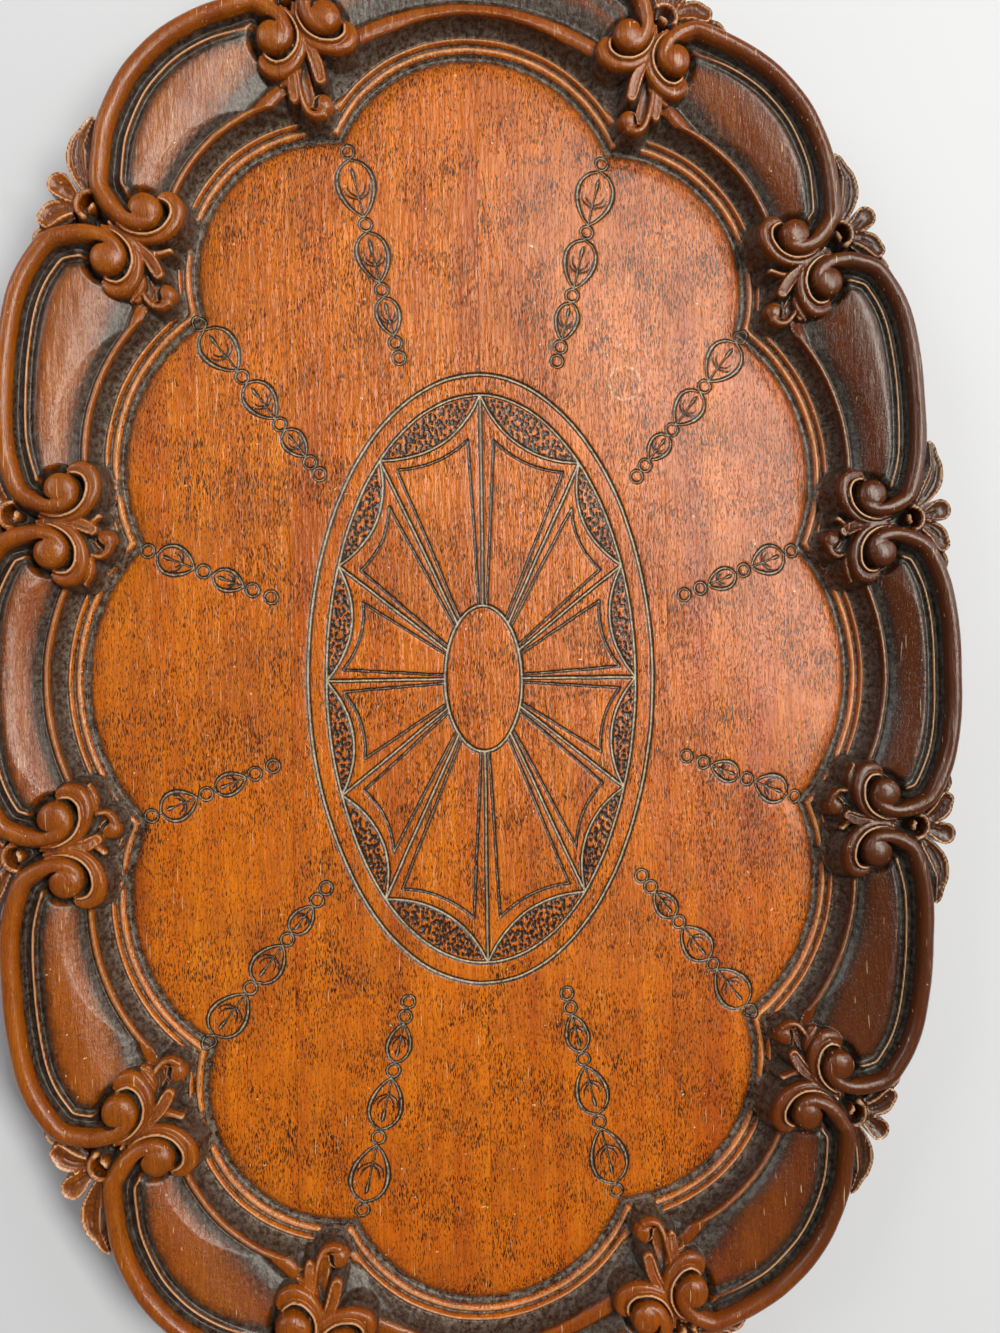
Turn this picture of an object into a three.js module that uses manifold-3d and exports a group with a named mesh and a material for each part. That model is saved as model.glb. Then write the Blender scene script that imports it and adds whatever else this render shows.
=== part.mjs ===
// A carved wooden tray: four boards glued edge to edge over hidden dowels, then carved as one.
// Millimetres, +Z up, length along Y. The origin is under the middle, on the plane the tray stands on.
import * as THREE from "three";
import { mergeVertices } from "three/addons/utils/BufferGeometryUtils.js";
import Module from "manifold-3d";

const wasm = await Module();
wasm.setup();

// Overall size and levels
const TRAY_LENGTH = 534;
const TRAY_WIDTH = 356;
const RIM_WIDTH = 34.6; // edge bead of the field to the outside of the roll, at the sides and ends
const FLOOR = 10; // board thickness left under the field
const RIM_RISE = 19.5; // field to the top of the roll
const EDGE_THICKNESS = 9; // underside of the rim's edge to the ground beside the roll

// Twelve lobes. Their cusps lie on an ellipse, at these angles from the side to the end.
const CUSP_ANGLES = [13.2, 36.9, 66.3];
const LOBE_RISES = { side: 18.8, flank: 14.6, shoulder: 21, end: 32.7 };
const LOBE_ORDER = ["flank", "shoulder", "end", "shoulder", "flank", "side"]; // half way round the tray
const RIM_SPREADS = { side: 0, flank: 2.5, shoulder: 6.6, end: 0 }; // what each lobe adds to RIM_WIDTH

// What is carved at the three cusps of a quarter, as [x, y] from the cusp, and the way the fan looks
const ORNAMENTS = [
  { ball: [5.6, -0.4], sideEye: [21.1, -4.2], endEye: [18.2, 17.3], ring: [37.4, 7.8], fanAngle: 10 },
  { ball: [5.5, 2.2], sideEye: [22.8, 13.5], endEye: [11, 30], ring: [29, 30.5], fanAngle: 28 },
  { ball: [5, 3.4], sideEye: [19, 23.4], endEye: [1.8, 30.4], ring: [15.5, 38.4], fanAngle: 56 },
];

// Mouldings from the field outwards: [distance from the edge bead, height above the field]
const ROLL_OFF_WIDTH = 8; // the field's edge is rounded over this far in
const INNER_MOULDING = [
  [-2, -1.4],
  [0.2, 1],
  [1.4, 0.6],
  [3, 2.4],
  [4.2, 2],
  [6.6, 7.4],
  [8.2, 10.3],
  [9.8, 9.2],
];
// Mouldings from the roll inwards: [distance from the middle of the roll, height above the field]
const OUTER_MOULDING = [
  [13, 16.4],
  [7.2, 16.2],
  [4.6, 13.6],
  [0, 14.5],
];
const CUSP_GROUND = 0.62; // at a cusp the ground lies at this share of the height beside it
const GROUND_FADE = 16; // how far from a cusp the ground is back at its full height

const CROWN = [[-1, -0.9], [-0.5, 0], [0.5, 0], [1, -0.9]]; // of a moulding, in half widths from its top

// C scroll round each lobe
const ROLL_WIDTH = 5.8;
const ROLL_DEPTH = 9;
const VOLUTE_DROP = 3; // the roll's ends lie this much lower than its middle
const ROLL_SQUARENESS = 3; // exponent of the roll's arc; 2 is a parabola
const ROLL_STOPS = [0.15, 0.32, 0.5, 0.68, 0.85]; // where the roll's arc is measured, as shares of it
const VOLUTE_NEARNESS = 4; // exponent that keeps the drop near the roll's ends
// Middle of the roll round a volute's eye: [outwards, towards the cusp] from the eye
const VOLUTE_PATH = [
  [17, 1],
  [9.5, 5.2],
  [2.5, 6.1],
  [-3.2, 4.2],
  [-4.4, -0.8],
];
const EYE_RADIUS = 4.8;
const EYE_TOP = 17; // above the field
const BALL_RADIUS = 3.9;
const BALL_TOP = 8.8; // above the field

// Stem from the fan down to the ball
const STEM_WIDTHS = [2.4, 2.2, 3.4, 4.6]; // from the fan inwards
const STEM_TOPS = [15, 14.5, 11.5, 7.5]; // above the field
const STEM_DEPTH = 8;
const STEM_WAIST = 0.55; // where its third width is, as a share of the way from between the eyes to the ball

// Acanthus fan: half of its outline as [angle from the fan's axis, distance from its root]
const FAN_OUTLINE = [
  [12, 14.6],
  [22, 10.5],
  [31, 15.6],
  [43, 17],
  [51, 13],
  [59, 22],
  [66, 25],
  [76, 12],
  [120, 4.5],
];
const FAN_TIP = 15; // from the root, on the axis
const FAN_BACK = 4; // behind the root, under the stem
const FAN_TOP = 17.6; // above the field
const FAN_SLOPE = [0.8, 2.2]; // the top is this share of the outline, and the edge this much lower
const FAN_DEPTH = 9;

// Foot under the field
const FOOT_SET_IN = 6; // from the ellipse of the cusps

// Boards and what joins them
const SEAM_OFFSET = 70; // outer glue lines from the middle one
const GLUE_LINE = 0.1;
const DOWEL_DIAMETER = 5;
const DOWEL_LENGTH = 32;
const DOWEL_CHAMFER = 0.5;
const DOWEL_CLEARANCE = 0.3; // round the dowel and at each end
const DOWELS_PER_JOINT = 4;
const DOWEL_END_MARGIN = 12; // from the edge of the foot to the middle of the last dowel

// Mesh fineness
const LOBE_STEPS = 10;
const ROLL_STEPS = 24;
const DOME_SIDES = 10;
const DOME_RINGS = 3;
const DOWEL_SIDES = 12;
const SLIVER = 0.05; // detail under this size, left by the joins, is smoothed away
const WELD = 0.01; // corners nearer than this become one

// Sizes that follow
const radians = THREE.MathUtils.degToRad;
const fieldHalfWidth = TRAY_WIDTH / 2 - RIM_WIDTH;
const fieldHalfLength = TRAY_LENGTH / 2 - RIM_WIDTH;
const cuspHalfWidth = (fieldHalfWidth - LOBE_RISES.side) / Math.cos(radians(CUSP_ANGLES[0]));
const cuspHalfLength = (fieldHalfLength - LOBE_RISES.end) / Math.sin(radians(CUSP_ANGLES[2]));
const footHalfWidth = cuspHalfWidth - FOOT_SET_IN;
const footHalfLength = cuspHalfLength - FOOT_SET_IN;
const outerGround = OUTER_MOULDING.at(-1)[1];
const lowerEdge = FLOOR + outerGround - EDGE_THICKNESS;

const boardMaterials = {
  middle: new THREE.MeshStandardMaterial({ color: "#a4501f", roughness: 0.38, metalness: 0 }),
  outer: new THREE.MeshStandardMaterial({ color: "#96471b", roughness: 0.38, metalness: 0 }),
};
const dowelMaterial = new THREE.MeshStandardMaterial({ color: "#b98b57", roughness: 0.7, metalness: 0 });

// Twelve cusps, anticlockwise from the upper one of the two beside the right hand lobe
function makeCusps() {
  const order = [0, 1, 2];
  const quarters = [
    { x: 1, y: 1, indices: order },
    { x: -1, y: 1, indices: [...order].reverse() },
    { x: -1, y: -1, indices: order },
    { x: 1, y: -1, indices: [...order].reverse() },
  ];
  return quarters.flatMap(({ x, y, indices }) => indices.map((index) => makeCusp(index, x, y)));
}

function makeCusp(index, signX, signY) {
  const flip = ([x, y]) => new THREE.Vector2(x * signX, y * signY);
  const angle = radians(CUSP_ANGLES[index]);
  const at = flip([cuspHalfWidth * Math.cos(angle), cuspHalfLength * Math.sin(angle)]);
  const ornament = ORNAMENTS[index];
  const from = (offset) => flip(offset).add(at);
  const sideEye = from(ornament.sideEye);
  const endEye = from(ornament.endEye);
  const turnsToEnd = signX * signY > 0;
  const fan = radians(ornament.fanAngle);
  return {
    at,
    ball: from(ornament.ball),
    ring: from(ornament.ring),
    eyeBefore: turnsToEnd ? sideEye : endEye,
    eyeAfter: turnsToEnd ? endEye : sideEye,
    fanWay: flip([Math.cos(fan), Math.sin(fan)]),
  };
}

// One lobe between two cusps, with its own axes: along the chord and outwards
function makeLobe(kind, start, end) {
  const along = end.at.clone().sub(start.at);
  const halfChord = along.length() / 2;
  along.normalize();
  const outwards = new THREE.Vector2(along.y, -along.x);
  const middle = start.at.clone().add(end.at).multiplyScalar(0.5);
  const rise = LOBE_RISES[kind];
  const radius = (halfChord ** 2 + rise ** 2) / (2 * rise);
  const place = (u, w) => middle.clone().addScaledVector(along, u).addScaledVector(outwards, w);
  const local = (point) => {
    const offset = point.clone().sub(middle);
    return [offset.dot(along), offset.dot(outwards)];
  };
  const reach = rise + RIM_WIDTH + RIM_SPREADS[kind] - ROLL_WIDTH / 2;
  return { start, end, halfChord, rise, radius, reach, place, local };
}

// Point on the lobe's edge bead, with share from 0 to 1 between its cusps
function beadPoint(lobe, share) {
  const half = Math.asin(lobe.halfChord / lobe.radius);
  const turn = half * (2 * share - 1);
  const centre = lobe.rise - lobe.radius;
  return lobe.place(lobe.radius * Math.sin(turn), centre + lobe.radius * Math.cos(turn));
}

// Flat topped arc between two points in the lobe's axes, with its highest point at reach
function scrollArc(lobe, [startU, startW], [endU, endW], share) {
  const t = 2 * share - 1;
  const bulge = 1 - Math.abs(t) ** ROLL_SQUARENESS;
  const base = startW + (endW - startW) * share;
  return lobe.place(startU + (endU - startU) * share, base + (lobe.reach - base) * bulge);
}

// Outer edge of the rim's ground, from fan to fan under the middle of the roll
function groundEdge(lobe, share) {
  return scrollArc(lobe, lobe.local(lobe.start.ring), lobe.local(lobe.end.ring), share);
}

function centreOf(ring) {
  return ring.reduce((sum, p) => sum.add(p), new THREE.Vector3()).divideScalar(ring.length);
}

// Solid from a stack of rings with the same number of points, each end closed round a middle point
function loft(rings, middles = [centreOf(rings[0]), centreOf(rings.at(-1))]) {
  const count = rings[0].length;
  const points = [...rings.flat(), ...middles];
  const firstCentre = points.length - 2;
  const lastCentre = points.length - 1;
  const faces = [];
  const lastRing = (rings.length - 1) * count;
  for (let i = 0; i < count; i += 1) {
    const next = (i + 1) % count;
    faces.push(firstCentre, next, i, lastCentre, lastRing + i, lastRing + next);
    for (let ring = 0; ring < lastRing; ring += count) {
      faces.push(ring + i, ring + next, ring + count + i);
      faces.push(ring + next, ring + count + next, ring + count + i);
    }
  }
  const geometry = new THREE.BufferGeometry().setFromPoints(points);
  geometry.setIndex(faces);
  return geometry;
}

function toSolid(geometry, matrix = new THREE.Matrix4()) {
  const bare = geometry.clone();
  bare.deleteAttribute("normal");
  bare.deleteAttribute("uv");
  const merged = mergeVertices(bare).applyMatrix4(matrix);
  return new wasm.Manifold(
    new wasm.Mesh({
      numProp: 3,
      vertProperties: merged.attributes.position.array,
      triVerts: new Uint32Array(merged.index.array),
    }),
  );
}

// Surface of a solid, without the slivers that joins and cuts leave
function toCleanGeometry(solid) {
  const mesh = solid.asOriginal().simplify(SLIVER).getMesh();
  const rough = new THREE.BufferGeometry();
  rough.setAttribute("position", new THREE.BufferAttribute(mesh.vertProperties, 3));
  rough.setIndex(new THREE.BufferAttribute(mesh.triVerts, 1));
  const geometry = mergeVertices(rough, WELD);
  const faces = [];
  for (let i = 0; i < geometry.index.count; i += 3) {
    const corners = [0, 1, 2].map((k) => geometry.index.getX(i + k));
    if (new Set(corners).size === 3) faces.push(...corners);
  }
  geometry.setIndex(faces);
  geometry.computeVertexNormals();
  return geometry;
}

// Station across the rim: where it starts, which way it runs, how long it is and how near a cusp it is
function rimStation(lobe, share) {
  const bead = beadPoint(lobe, share);
  const way = groundEdge(lobe, share).sub(bead);
  const length = way.length();
  const fromCusp = Math.min(share, 1 - share) * 2 * lobe.halfChord;
  const fullness = THREE.MathUtils.smoothstep(fromCusp, 0, GROUND_FADE);
  return { bead, way: way.normalize(), length, fullness };
}

function stationPoint(station, distance, height) {
  const at = station.bead.clone().addScaledVector(station.way, distance);
  return new THREE.Vector3(at.x, at.y, FLOOR + height);
}

function footPoint(station) {
  const angle = Math.atan2(station.bead.y / cuspHalfLength, station.bead.x / cuspHalfWidth);
  return new THREE.Vector3(footHalfWidth * Math.cos(angle), footHalfLength * Math.sin(angle), 0);
}

// Field, edge beads, cove, panels and underside as one body
function makeBody(lobes) {
  const shares = Array.from({ length: LOBE_STEPS }, (_, i) => i / LOBE_STEPS);
  const stations = lobes.flatMap((lobe) => shares.map((share) => rimStation(lobe, share)));
  const ring = (place) => stations.map(place);
  const low = (station, height) => height * THREE.MathUtils.lerp(CUSP_GROUND, 1, station.fullness);
  const inner = INNER_MOULDING.map(([distance, height]) =>
    ring((station) => stationPoint(station, distance, height)),
  );
  const outer = OUTER_MOULDING.map(([distance, height]) =>
    ring((station) => stationPoint(station, station.length - distance, low(station, height))),
  );
  return loft([
    ring(footPoint),
    ring((station) => stationPoint(station, station.length, lowerEdge - FLOOR)),
    ...outer.reverse(),
    ...inner.reverse(),
    ring((station) => stationPoint(station, -ROLL_OFF_WIDTH, 0)),
  ]);
}

// Upright section of a moulding that runs through at: crowned, with straight sides below
function section(at, way, width, depth, top) {
  const across = new THREE.Vector3(way.y, -way.x, 0).normalize();
  const radius = width / 2;
  const place = (side, z) => new THREE.Vector3(at.x, at.y, z).addScaledVector(across, side);
  const crown = CROWN.map(([side, height]) => place(side * radius, top + height * radius));
  return [place(radius, top - depth), place(-radius, top - depth), ...crown];
}

// Roll of one lobe, curled round an eye at each end
function makeRoll(lobe) {
  const startEye = lobe.local(lobe.start.eyeAfter);
  const endEye = lobe.local(lobe.end.eyeBefore);
  const around = ([u, w], side) => VOLUTE_PATH.map(([out, sideways]) => [u + side * sideways, w + out]);
  const startPath = around(startEye, -1);
  const endPath = around(endEye, 1);
  const arc = ROLL_STOPS.map((share) => scrollArc(lobe, startPath[0], endPath[0], share));
  const points = [
    ...startPath.reverse().map(([u, w]) => lobe.place(u, w)),
    ...arc,
    ...endPath.map(([u, w]) => lobe.place(u, w)),
  ];
  const curve = new THREE.CatmullRomCurve3(
    points.map((p) => new THREE.Vector3(p.x, p.y, 0)),
    false,
    "centripetal",
  );
  const rings = Array.from({ length: ROLL_STEPS + 1 }, (_, i) => {
    const share = i / ROLL_STEPS;
    const drop = VOLUTE_DROP * Math.abs(2 * share - 1) ** VOLUTE_NEARNESS;
    const top = FLOOR + RIM_RISE - drop;
    return section(curve.getPointAt(share), curve.getTangentAt(share), ROLL_WIDTH, ROLL_DEPTH, top);
  });
  return loft(rings);
}

// Half ball on a straight post, so that nothing is undercut round it
function makeDome(radius, at, top) {
  const arc = Array.from({ length: DOME_RINGS }, (_, i) => {
    const angle = (Math.PI / 2) * (i / (DOME_RINGS - 1));
    return new THREE.Vector2(radius * Math.cos(angle), radius * Math.sin(angle));
  });
  arc[arc.length - 1].x = 0;
  const profile = [new THREE.Vector2(0, -radius), new THREE.Vector2(radius, -radius), ...arc];
  const dome = new THREE.LatheGeometry(profile, DOME_SIDES).rotateX(Math.PI / 2);
  return dome.translate(at.x, at.y, FLOOR + top - radius);
}

function makeStem(cusp) {
  const between = cusp.eyeBefore.clone().add(cusp.eyeAfter).multiplyScalar(0.5);
  const route = [cusp.ring, between, between.clone().lerp(cusp.ball, STEM_WAIST), cusp.ball];
  const curve = new THREE.CatmullRomCurve3(route.map((p) => new THREE.Vector3(p.x, p.y, 0)));
  const rings = route.map((at, i) => {
    const way = curve.getTangent(i / (route.length - 1));
    return section(at, way, STEM_WIDTHS[i], STEM_DEPTH, FLOOR + STEM_TOPS[i]);
  });
  return loft(rings);
}

// Spread leaves as one body, with sloping edges
function makeFan(cusp) {
  const half = FAN_OUTLINE.map(([angle, distance]) => [radians(angle), distance]);
  const mirrored = half.map(([angle, distance]) => [-angle, distance]).reverse();
  const outline = [[0, FAN_TIP], ...half, [Math.PI, FAN_BACK], ...mirrored];
  const aim = cusp.fanWay.angle();
  const ring = (share, top) =>
    outline.map(([angle, distance]) => {
      const x = cusp.ring.x + share * distance * Math.cos(aim + angle);
      const y = cusp.ring.y + share * distance * Math.sin(aim + angle);
      return new THREE.Vector3(x, y, FLOOR + top);
    });
  const [share, drop] = FAN_SLOPE;
  const middles = [ring(0, FAN_TOP - FAN_DEPTH)[0], ring(0, FAN_TOP)[0]];
  return loft([ring(1, FAN_TOP - FAN_DEPTH), ring(1, FAN_TOP - drop), ring(share, FAN_TOP)], middles);
}

function makeOrnament(cusp) {
  return [
    makeDome(BALL_RADIUS, cusp.ball, BALL_TOP),
    makeDome(EYE_RADIUS, cusp.eyeBefore, EYE_TOP),
    makeDome(EYE_RADIUS, cusp.eyeAfter, EYE_TOP),
    makeStem(cusp),
    makeFan(cusp),
  ];
}

function carveTray() {
  const cusps = makeCusps();
  const lobes = cusps.map((cusp, i) => {
    return makeLobe(LOBE_ORDER[i % LOBE_ORDER.length], cusp, cusps[(i + 1) % cusps.length]);
  });
  const pieces = [makeBody(lobes), ...lobes.map(makeRoll), ...cusps.flatMap(makeOrnament)];
  return pieces.map((piece) => toSolid(piece)).reduce((joined, piece) => joined.add(piece));
}

// Slab of space that one board fills, between two glue lines
function boardSpace(from, to) {
  const past = 4; // times the tray, so that the slab's ends lie clear of it
  const box = new THREE.BoxGeometry(to - from - GLUE_LINE, past * TRAY_LENGTH, past * (FLOOR + RIM_RISE));
  return toSolid(box, new THREE.Matrix4().makeTranslation((from + to) / 2, 0, 0));
}

function dowelPlaces(seam) {
  const footEdge = footHalfLength * Math.sqrt(1 - (seam / footHalfWidth) ** 2);
  const last = footEdge - DOWEL_END_MARGIN;
  const pitch = (2 * last) / (DOWELS_PER_JOINT - 1);
  return Array.from({ length: DOWELS_PER_JOINT }, (_, i) => {
    return new THREE.Vector3(seam, -last + pitch * i, FLOOR / 2);
  });
}

function makeDowelHole(place) {
  const radius = DOWEL_DIAMETER / 2 + DOWEL_CLEARANCE;
  const length = DOWEL_LENGTH + 2 * DOWEL_CLEARANCE;
  const hole = new THREE.CylinderGeometry(radius, radius, length, DOWEL_SIDES).rotateZ(Math.PI / 2);
  return toSolid(hole, new THREE.Matrix4().setPosition(place));
}

function makeDowel(name, place) {
  const radius = DOWEL_DIAMETER / 2;
  const half = DOWEL_LENGTH / 2;
  const profile = [
    [0, -half],
    [radius - DOWEL_CHAMFER, -half],
    [radius, -half + DOWEL_CHAMFER],
    [radius, half - DOWEL_CHAMFER],
    [radius - DOWEL_CHAMFER, half],
    [0, half],
  ].map(([x, y]) => new THREE.Vector2(x, y));
  const dowel = new THREE.Mesh(new THREE.LatheGeometry(profile, DOWEL_SIDES), dowelMaterial);
  dowel.rotation.z = Math.PI / 2;
  dowel.position.copy(place);
  dowel.name = name;
  return dowel;
}

const seams = { left: -SEAM_OFFSET, centre: 0, right: SEAM_OFFSET };
const boards = [
  { name: "board_left_outer", from: -TRAY_WIDTH, to: seams.left, material: boardMaterials.outer },
  { name: "board_left_middle", from: seams.left, to: seams.centre, material: boardMaterials.middle },
  { name: "board_right_middle", from: seams.centre, to: seams.right, material: boardMaterials.middle },
  { name: "board_right_outer", from: seams.right, to: TRAY_WIDTH, material: boardMaterials.outer },
];

const tray = new THREE.Group();
const joints = Object.entries(seams).map(([side, seam]) => ({ side, places: dowelPlaces(seam) }));
const holes = joints.flatMap(({ places }) => places.map(makeDowelHole));
const carved = holes.reduce((whole, hole) => whole.subtract(hole), carveTray());

for (const { name, from, to, material } of boards) {
  const board = new THREE.Mesh(toCleanGeometry(carved.intersect(boardSpace(from, to))), material);
  board.name = name;
  tray.add(board);
}
for (const { side, places } of joints) {
  places.forEach((place, i) => tray.add(makeDowel(`dowel_${side}_${i + 1}`, place)));
}

export default tray;
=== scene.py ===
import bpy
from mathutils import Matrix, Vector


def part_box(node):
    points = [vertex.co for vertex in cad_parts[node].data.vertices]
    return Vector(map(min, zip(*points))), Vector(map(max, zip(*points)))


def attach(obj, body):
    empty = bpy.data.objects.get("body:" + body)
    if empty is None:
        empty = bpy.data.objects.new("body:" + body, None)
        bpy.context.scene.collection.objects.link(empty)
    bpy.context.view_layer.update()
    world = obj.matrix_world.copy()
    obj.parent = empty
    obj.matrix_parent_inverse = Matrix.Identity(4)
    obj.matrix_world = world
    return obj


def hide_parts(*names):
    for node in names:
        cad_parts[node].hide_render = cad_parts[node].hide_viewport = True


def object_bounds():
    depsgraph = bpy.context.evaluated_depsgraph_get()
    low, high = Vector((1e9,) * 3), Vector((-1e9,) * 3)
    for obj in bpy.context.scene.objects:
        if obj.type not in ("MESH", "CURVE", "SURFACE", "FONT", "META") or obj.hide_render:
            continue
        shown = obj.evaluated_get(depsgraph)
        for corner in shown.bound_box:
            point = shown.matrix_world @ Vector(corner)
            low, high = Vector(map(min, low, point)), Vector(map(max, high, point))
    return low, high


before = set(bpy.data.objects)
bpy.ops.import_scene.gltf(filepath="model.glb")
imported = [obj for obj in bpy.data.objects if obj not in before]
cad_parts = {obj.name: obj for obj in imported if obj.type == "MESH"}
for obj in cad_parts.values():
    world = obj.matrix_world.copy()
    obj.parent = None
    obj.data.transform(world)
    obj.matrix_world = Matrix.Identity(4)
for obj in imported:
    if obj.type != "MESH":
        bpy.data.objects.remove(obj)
cadBox = [list(corner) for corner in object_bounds()]

import functools
import math

import bpy
import numpy as np
from mathutils import Vector, geometry

# The tray is four boards, carved as one. The carving is worked out as a height over the plan, in millimetres:
# x across the tray, y along it, heights counted from the field. One quarter is drawn and mirrored.

rim = {
    "width": 34.6,  # edge bead to the outside of the scroll
    "cuspAngles": [13.2, 36.9, 66.3],  # on the ellipse of the cusps, from the side to the end
    "lobeRises": [18.8, 14.6, 21, 32.7],  # side, flank, shoulder and end lobe
    "handWobbles": [(0.3, 70, 1), (0.09, 14, 3)],  # how far the knife wandered, over what length, and a seed
    "sharpness": 0.5,  # mouldings are rounded over this width
    "steepest": 0.97,  # rounds stop short of upright, at this share of their half width
}
floorThickness = 10
half = [corner * 1000 for corner in cadBox[1][:2]]


# Millimetres from one point of a curve to the next
curveSteps = {"scroll": 0.7, "ornament": 0.4, "comma": 0.3, "field": 0.5, "edge": 2}


def smooth(value, low, high):
    t = np.clip((value - low) / (high - low), 0, 1)
    return t * t * (3 - 2 * t)


def softLower(a, b, blend):
    t = np.clip(0.5 + 0.5 * (b - a) / blend, 0, 1)
    return b + (a - b) * t - blend * t * (1 - t)


def sway(points, wavelength, seed):  # gentle wandering between -1 and 1
    random = np.random.default_rng(seed)
    total = 0
    for _ in range(4):
        heading, phase = random.uniform(0, 2 * math.pi, 2)
        turns = 2 * math.pi / (wavelength * random.uniform(0.7, 1.4))
        way = points[:, 0] * math.cos(heading) + points[:, 1] * math.sin(heading)
        total = total + np.sin(way * turns + phase)
    return total / 4


def spline(rows, step=curveSteps["scroll"]):  # through every row; further columns, such as height, go along
    rows = np.array(rows, float)
    rows = np.vstack([2 * rows[0] - rows[1], rows, 2 * rows[-1] - rows[-2]])
    pieces = []
    for a, b, c, d in zip(rows, rows[1:], rows[2:], rows[3:]):
        t = np.linspace(0, 1, max(3, int(math.dist(b[:2], c[:2]) / step)) + 1)[:-1, None]
        squared, cubed = a - 2.5 * b + 2 * c - d / 2, 1.5 * (b - c) + (d - a) / 2
        pieces.append(b + (c - a) * t / 2 + squared * t**2 + cubed * t**3)
    return np.vstack(pieces + [rows[-2:-1]])


def place(local, rows):  # local is an origin and two axes; rows start with the steps along each
    rows = np.array(rows, float)
    origin, first, second = local
    rows[:, :2] = origin + rows[:, :1] * first + rows[:, 1:2] * second
    return rows


def polar(rows):  # rows that start with a distance and degrees from the first axis to the second
    rows = np.array(rows, float)
    angle = np.radians(rows[:, 1])
    rows[:, 0], rows[:, 1] = rows[:, 0] * np.cos(angle), rows[:, 0] * np.sin(angle)
    return rows


def facing(origin, target):  # an origin with an axis towards the target and one to its left
    first = (target - origin) / np.hypot(*(target - origin))
    return origin, first, np.array([-first[1], first[0]])


def nearest(points, line, reach):  # which points lie near a line, how far away, and beside which of its rows
    low, high = line[:, :2].min(0) - reach, line[:, :2].max(0) + reach
    near = np.flatnonzero((points[:, 0] > low[0]) & (points[:, 0] < high[0])
                          & (points[:, 1] > low[1]) & (points[:, 1] < high[1]))
    row = np.empty(len(near), int)
    pairsAtOnce = 2000000
    for part in np.array_split(np.arange(len(near)), len(near) * len(line) // pairsAtOnce + 1):
        x = points[near[part], :1] - line[:, 0]
        y = points[near[part], 1:2] - line[:, 1]
        row[part] = (x * x + y * y).argmin(1)
    way = np.gradient(line[:, :2], axis=0)
    way /= np.hypot(*way.T)[:, None]
    gap, way = points[near] - line[row, :2], way[row]
    along = (gap * way).sum(1)
    past = ((row == 0) & (along < 0)) | ((row == len(line) - 1) & (along > 0))
    sideways = np.abs(gap[:, 0] * way[:, 1] - gap[:, 1] * way[:, 0])
    away = np.where(past, np.hypot(*gap.T), sideways)
    close = away < reach
    return near[close], away[close], row[close]


def bringNearer(distances, points, line, reach):
    near, away, _ = nearest(points, line, reach)
    distances[near] = np.minimum(distances[near], away)


def insideLoop(points, loop):
    inside = np.zeros(len(points), bool)
    x, y = points.T
    for (ax, ay), (bx, by) in zip(loop, np.roll(loop, -1, axis=0)):
        inside ^= ((ay > y) != (by > y)) & (x < (bx - ax) * (y - ay) / (by - ay + 1e-12) + ax)
    return inside


# What stands at the three cusps of a quarter, in millimetres from the cusp
cuspOrnaments = [
    {"ball": (6.9, 0.1), "sideEye": (23.3, -4.9), "endEye": (19.7, 16.5), "ring": (35, 7.6), "fanAngle": 10},
    {"ball": (8, 4.4), "sideEye": (25.9, 13.9), "endEye": (13.5, 31), "ring": (31, 31.6), "fanAngle": 28},
    {"ball": (4.2, 4.8), "sideEye": (20.2, 23.8), "endEye": (2.8, 31.8), "ring": (16.2, 39), "fanAngle": 56},
]
angles = np.radians(rim["cuspAngles"])
cuspEllipse = np.array([
    (half[0] - rim["width"] - rim["lobeRises"][0]) / math.cos(angles[0]),
    (half[1] - rim["width"] - rim["lobeRises"][3]) / math.sin(angles[2]),
])


def makeCusp(index, mirror=(1, 1)):
    ornament, mirror = cuspOrnaments[index], np.array(mirror)
    at = cuspEllipse * [math.cos(angles[index]), math.sin(angles[index])]
    cusp = {name: (at + ornament[name]) * mirror for name in ("ball", "sideEye", "endEye", "ring")}
    cusp["at"] = at * mirror
    fan = math.radians(ornament["fanAngle"])
    fanAxis = np.array([math.cos(fan), math.sin(fan)])
    cusp["fan"] = (cusp["ring"], fanAxis, np.array([-fanAxis[1], fanAxis[0]]))
    return cusp


cusps = [makeCusp(0, (1, -1)), makeCusp(0), makeCusp(1), makeCusp(2), makeCusp(2, (-1, 1))]

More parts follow.
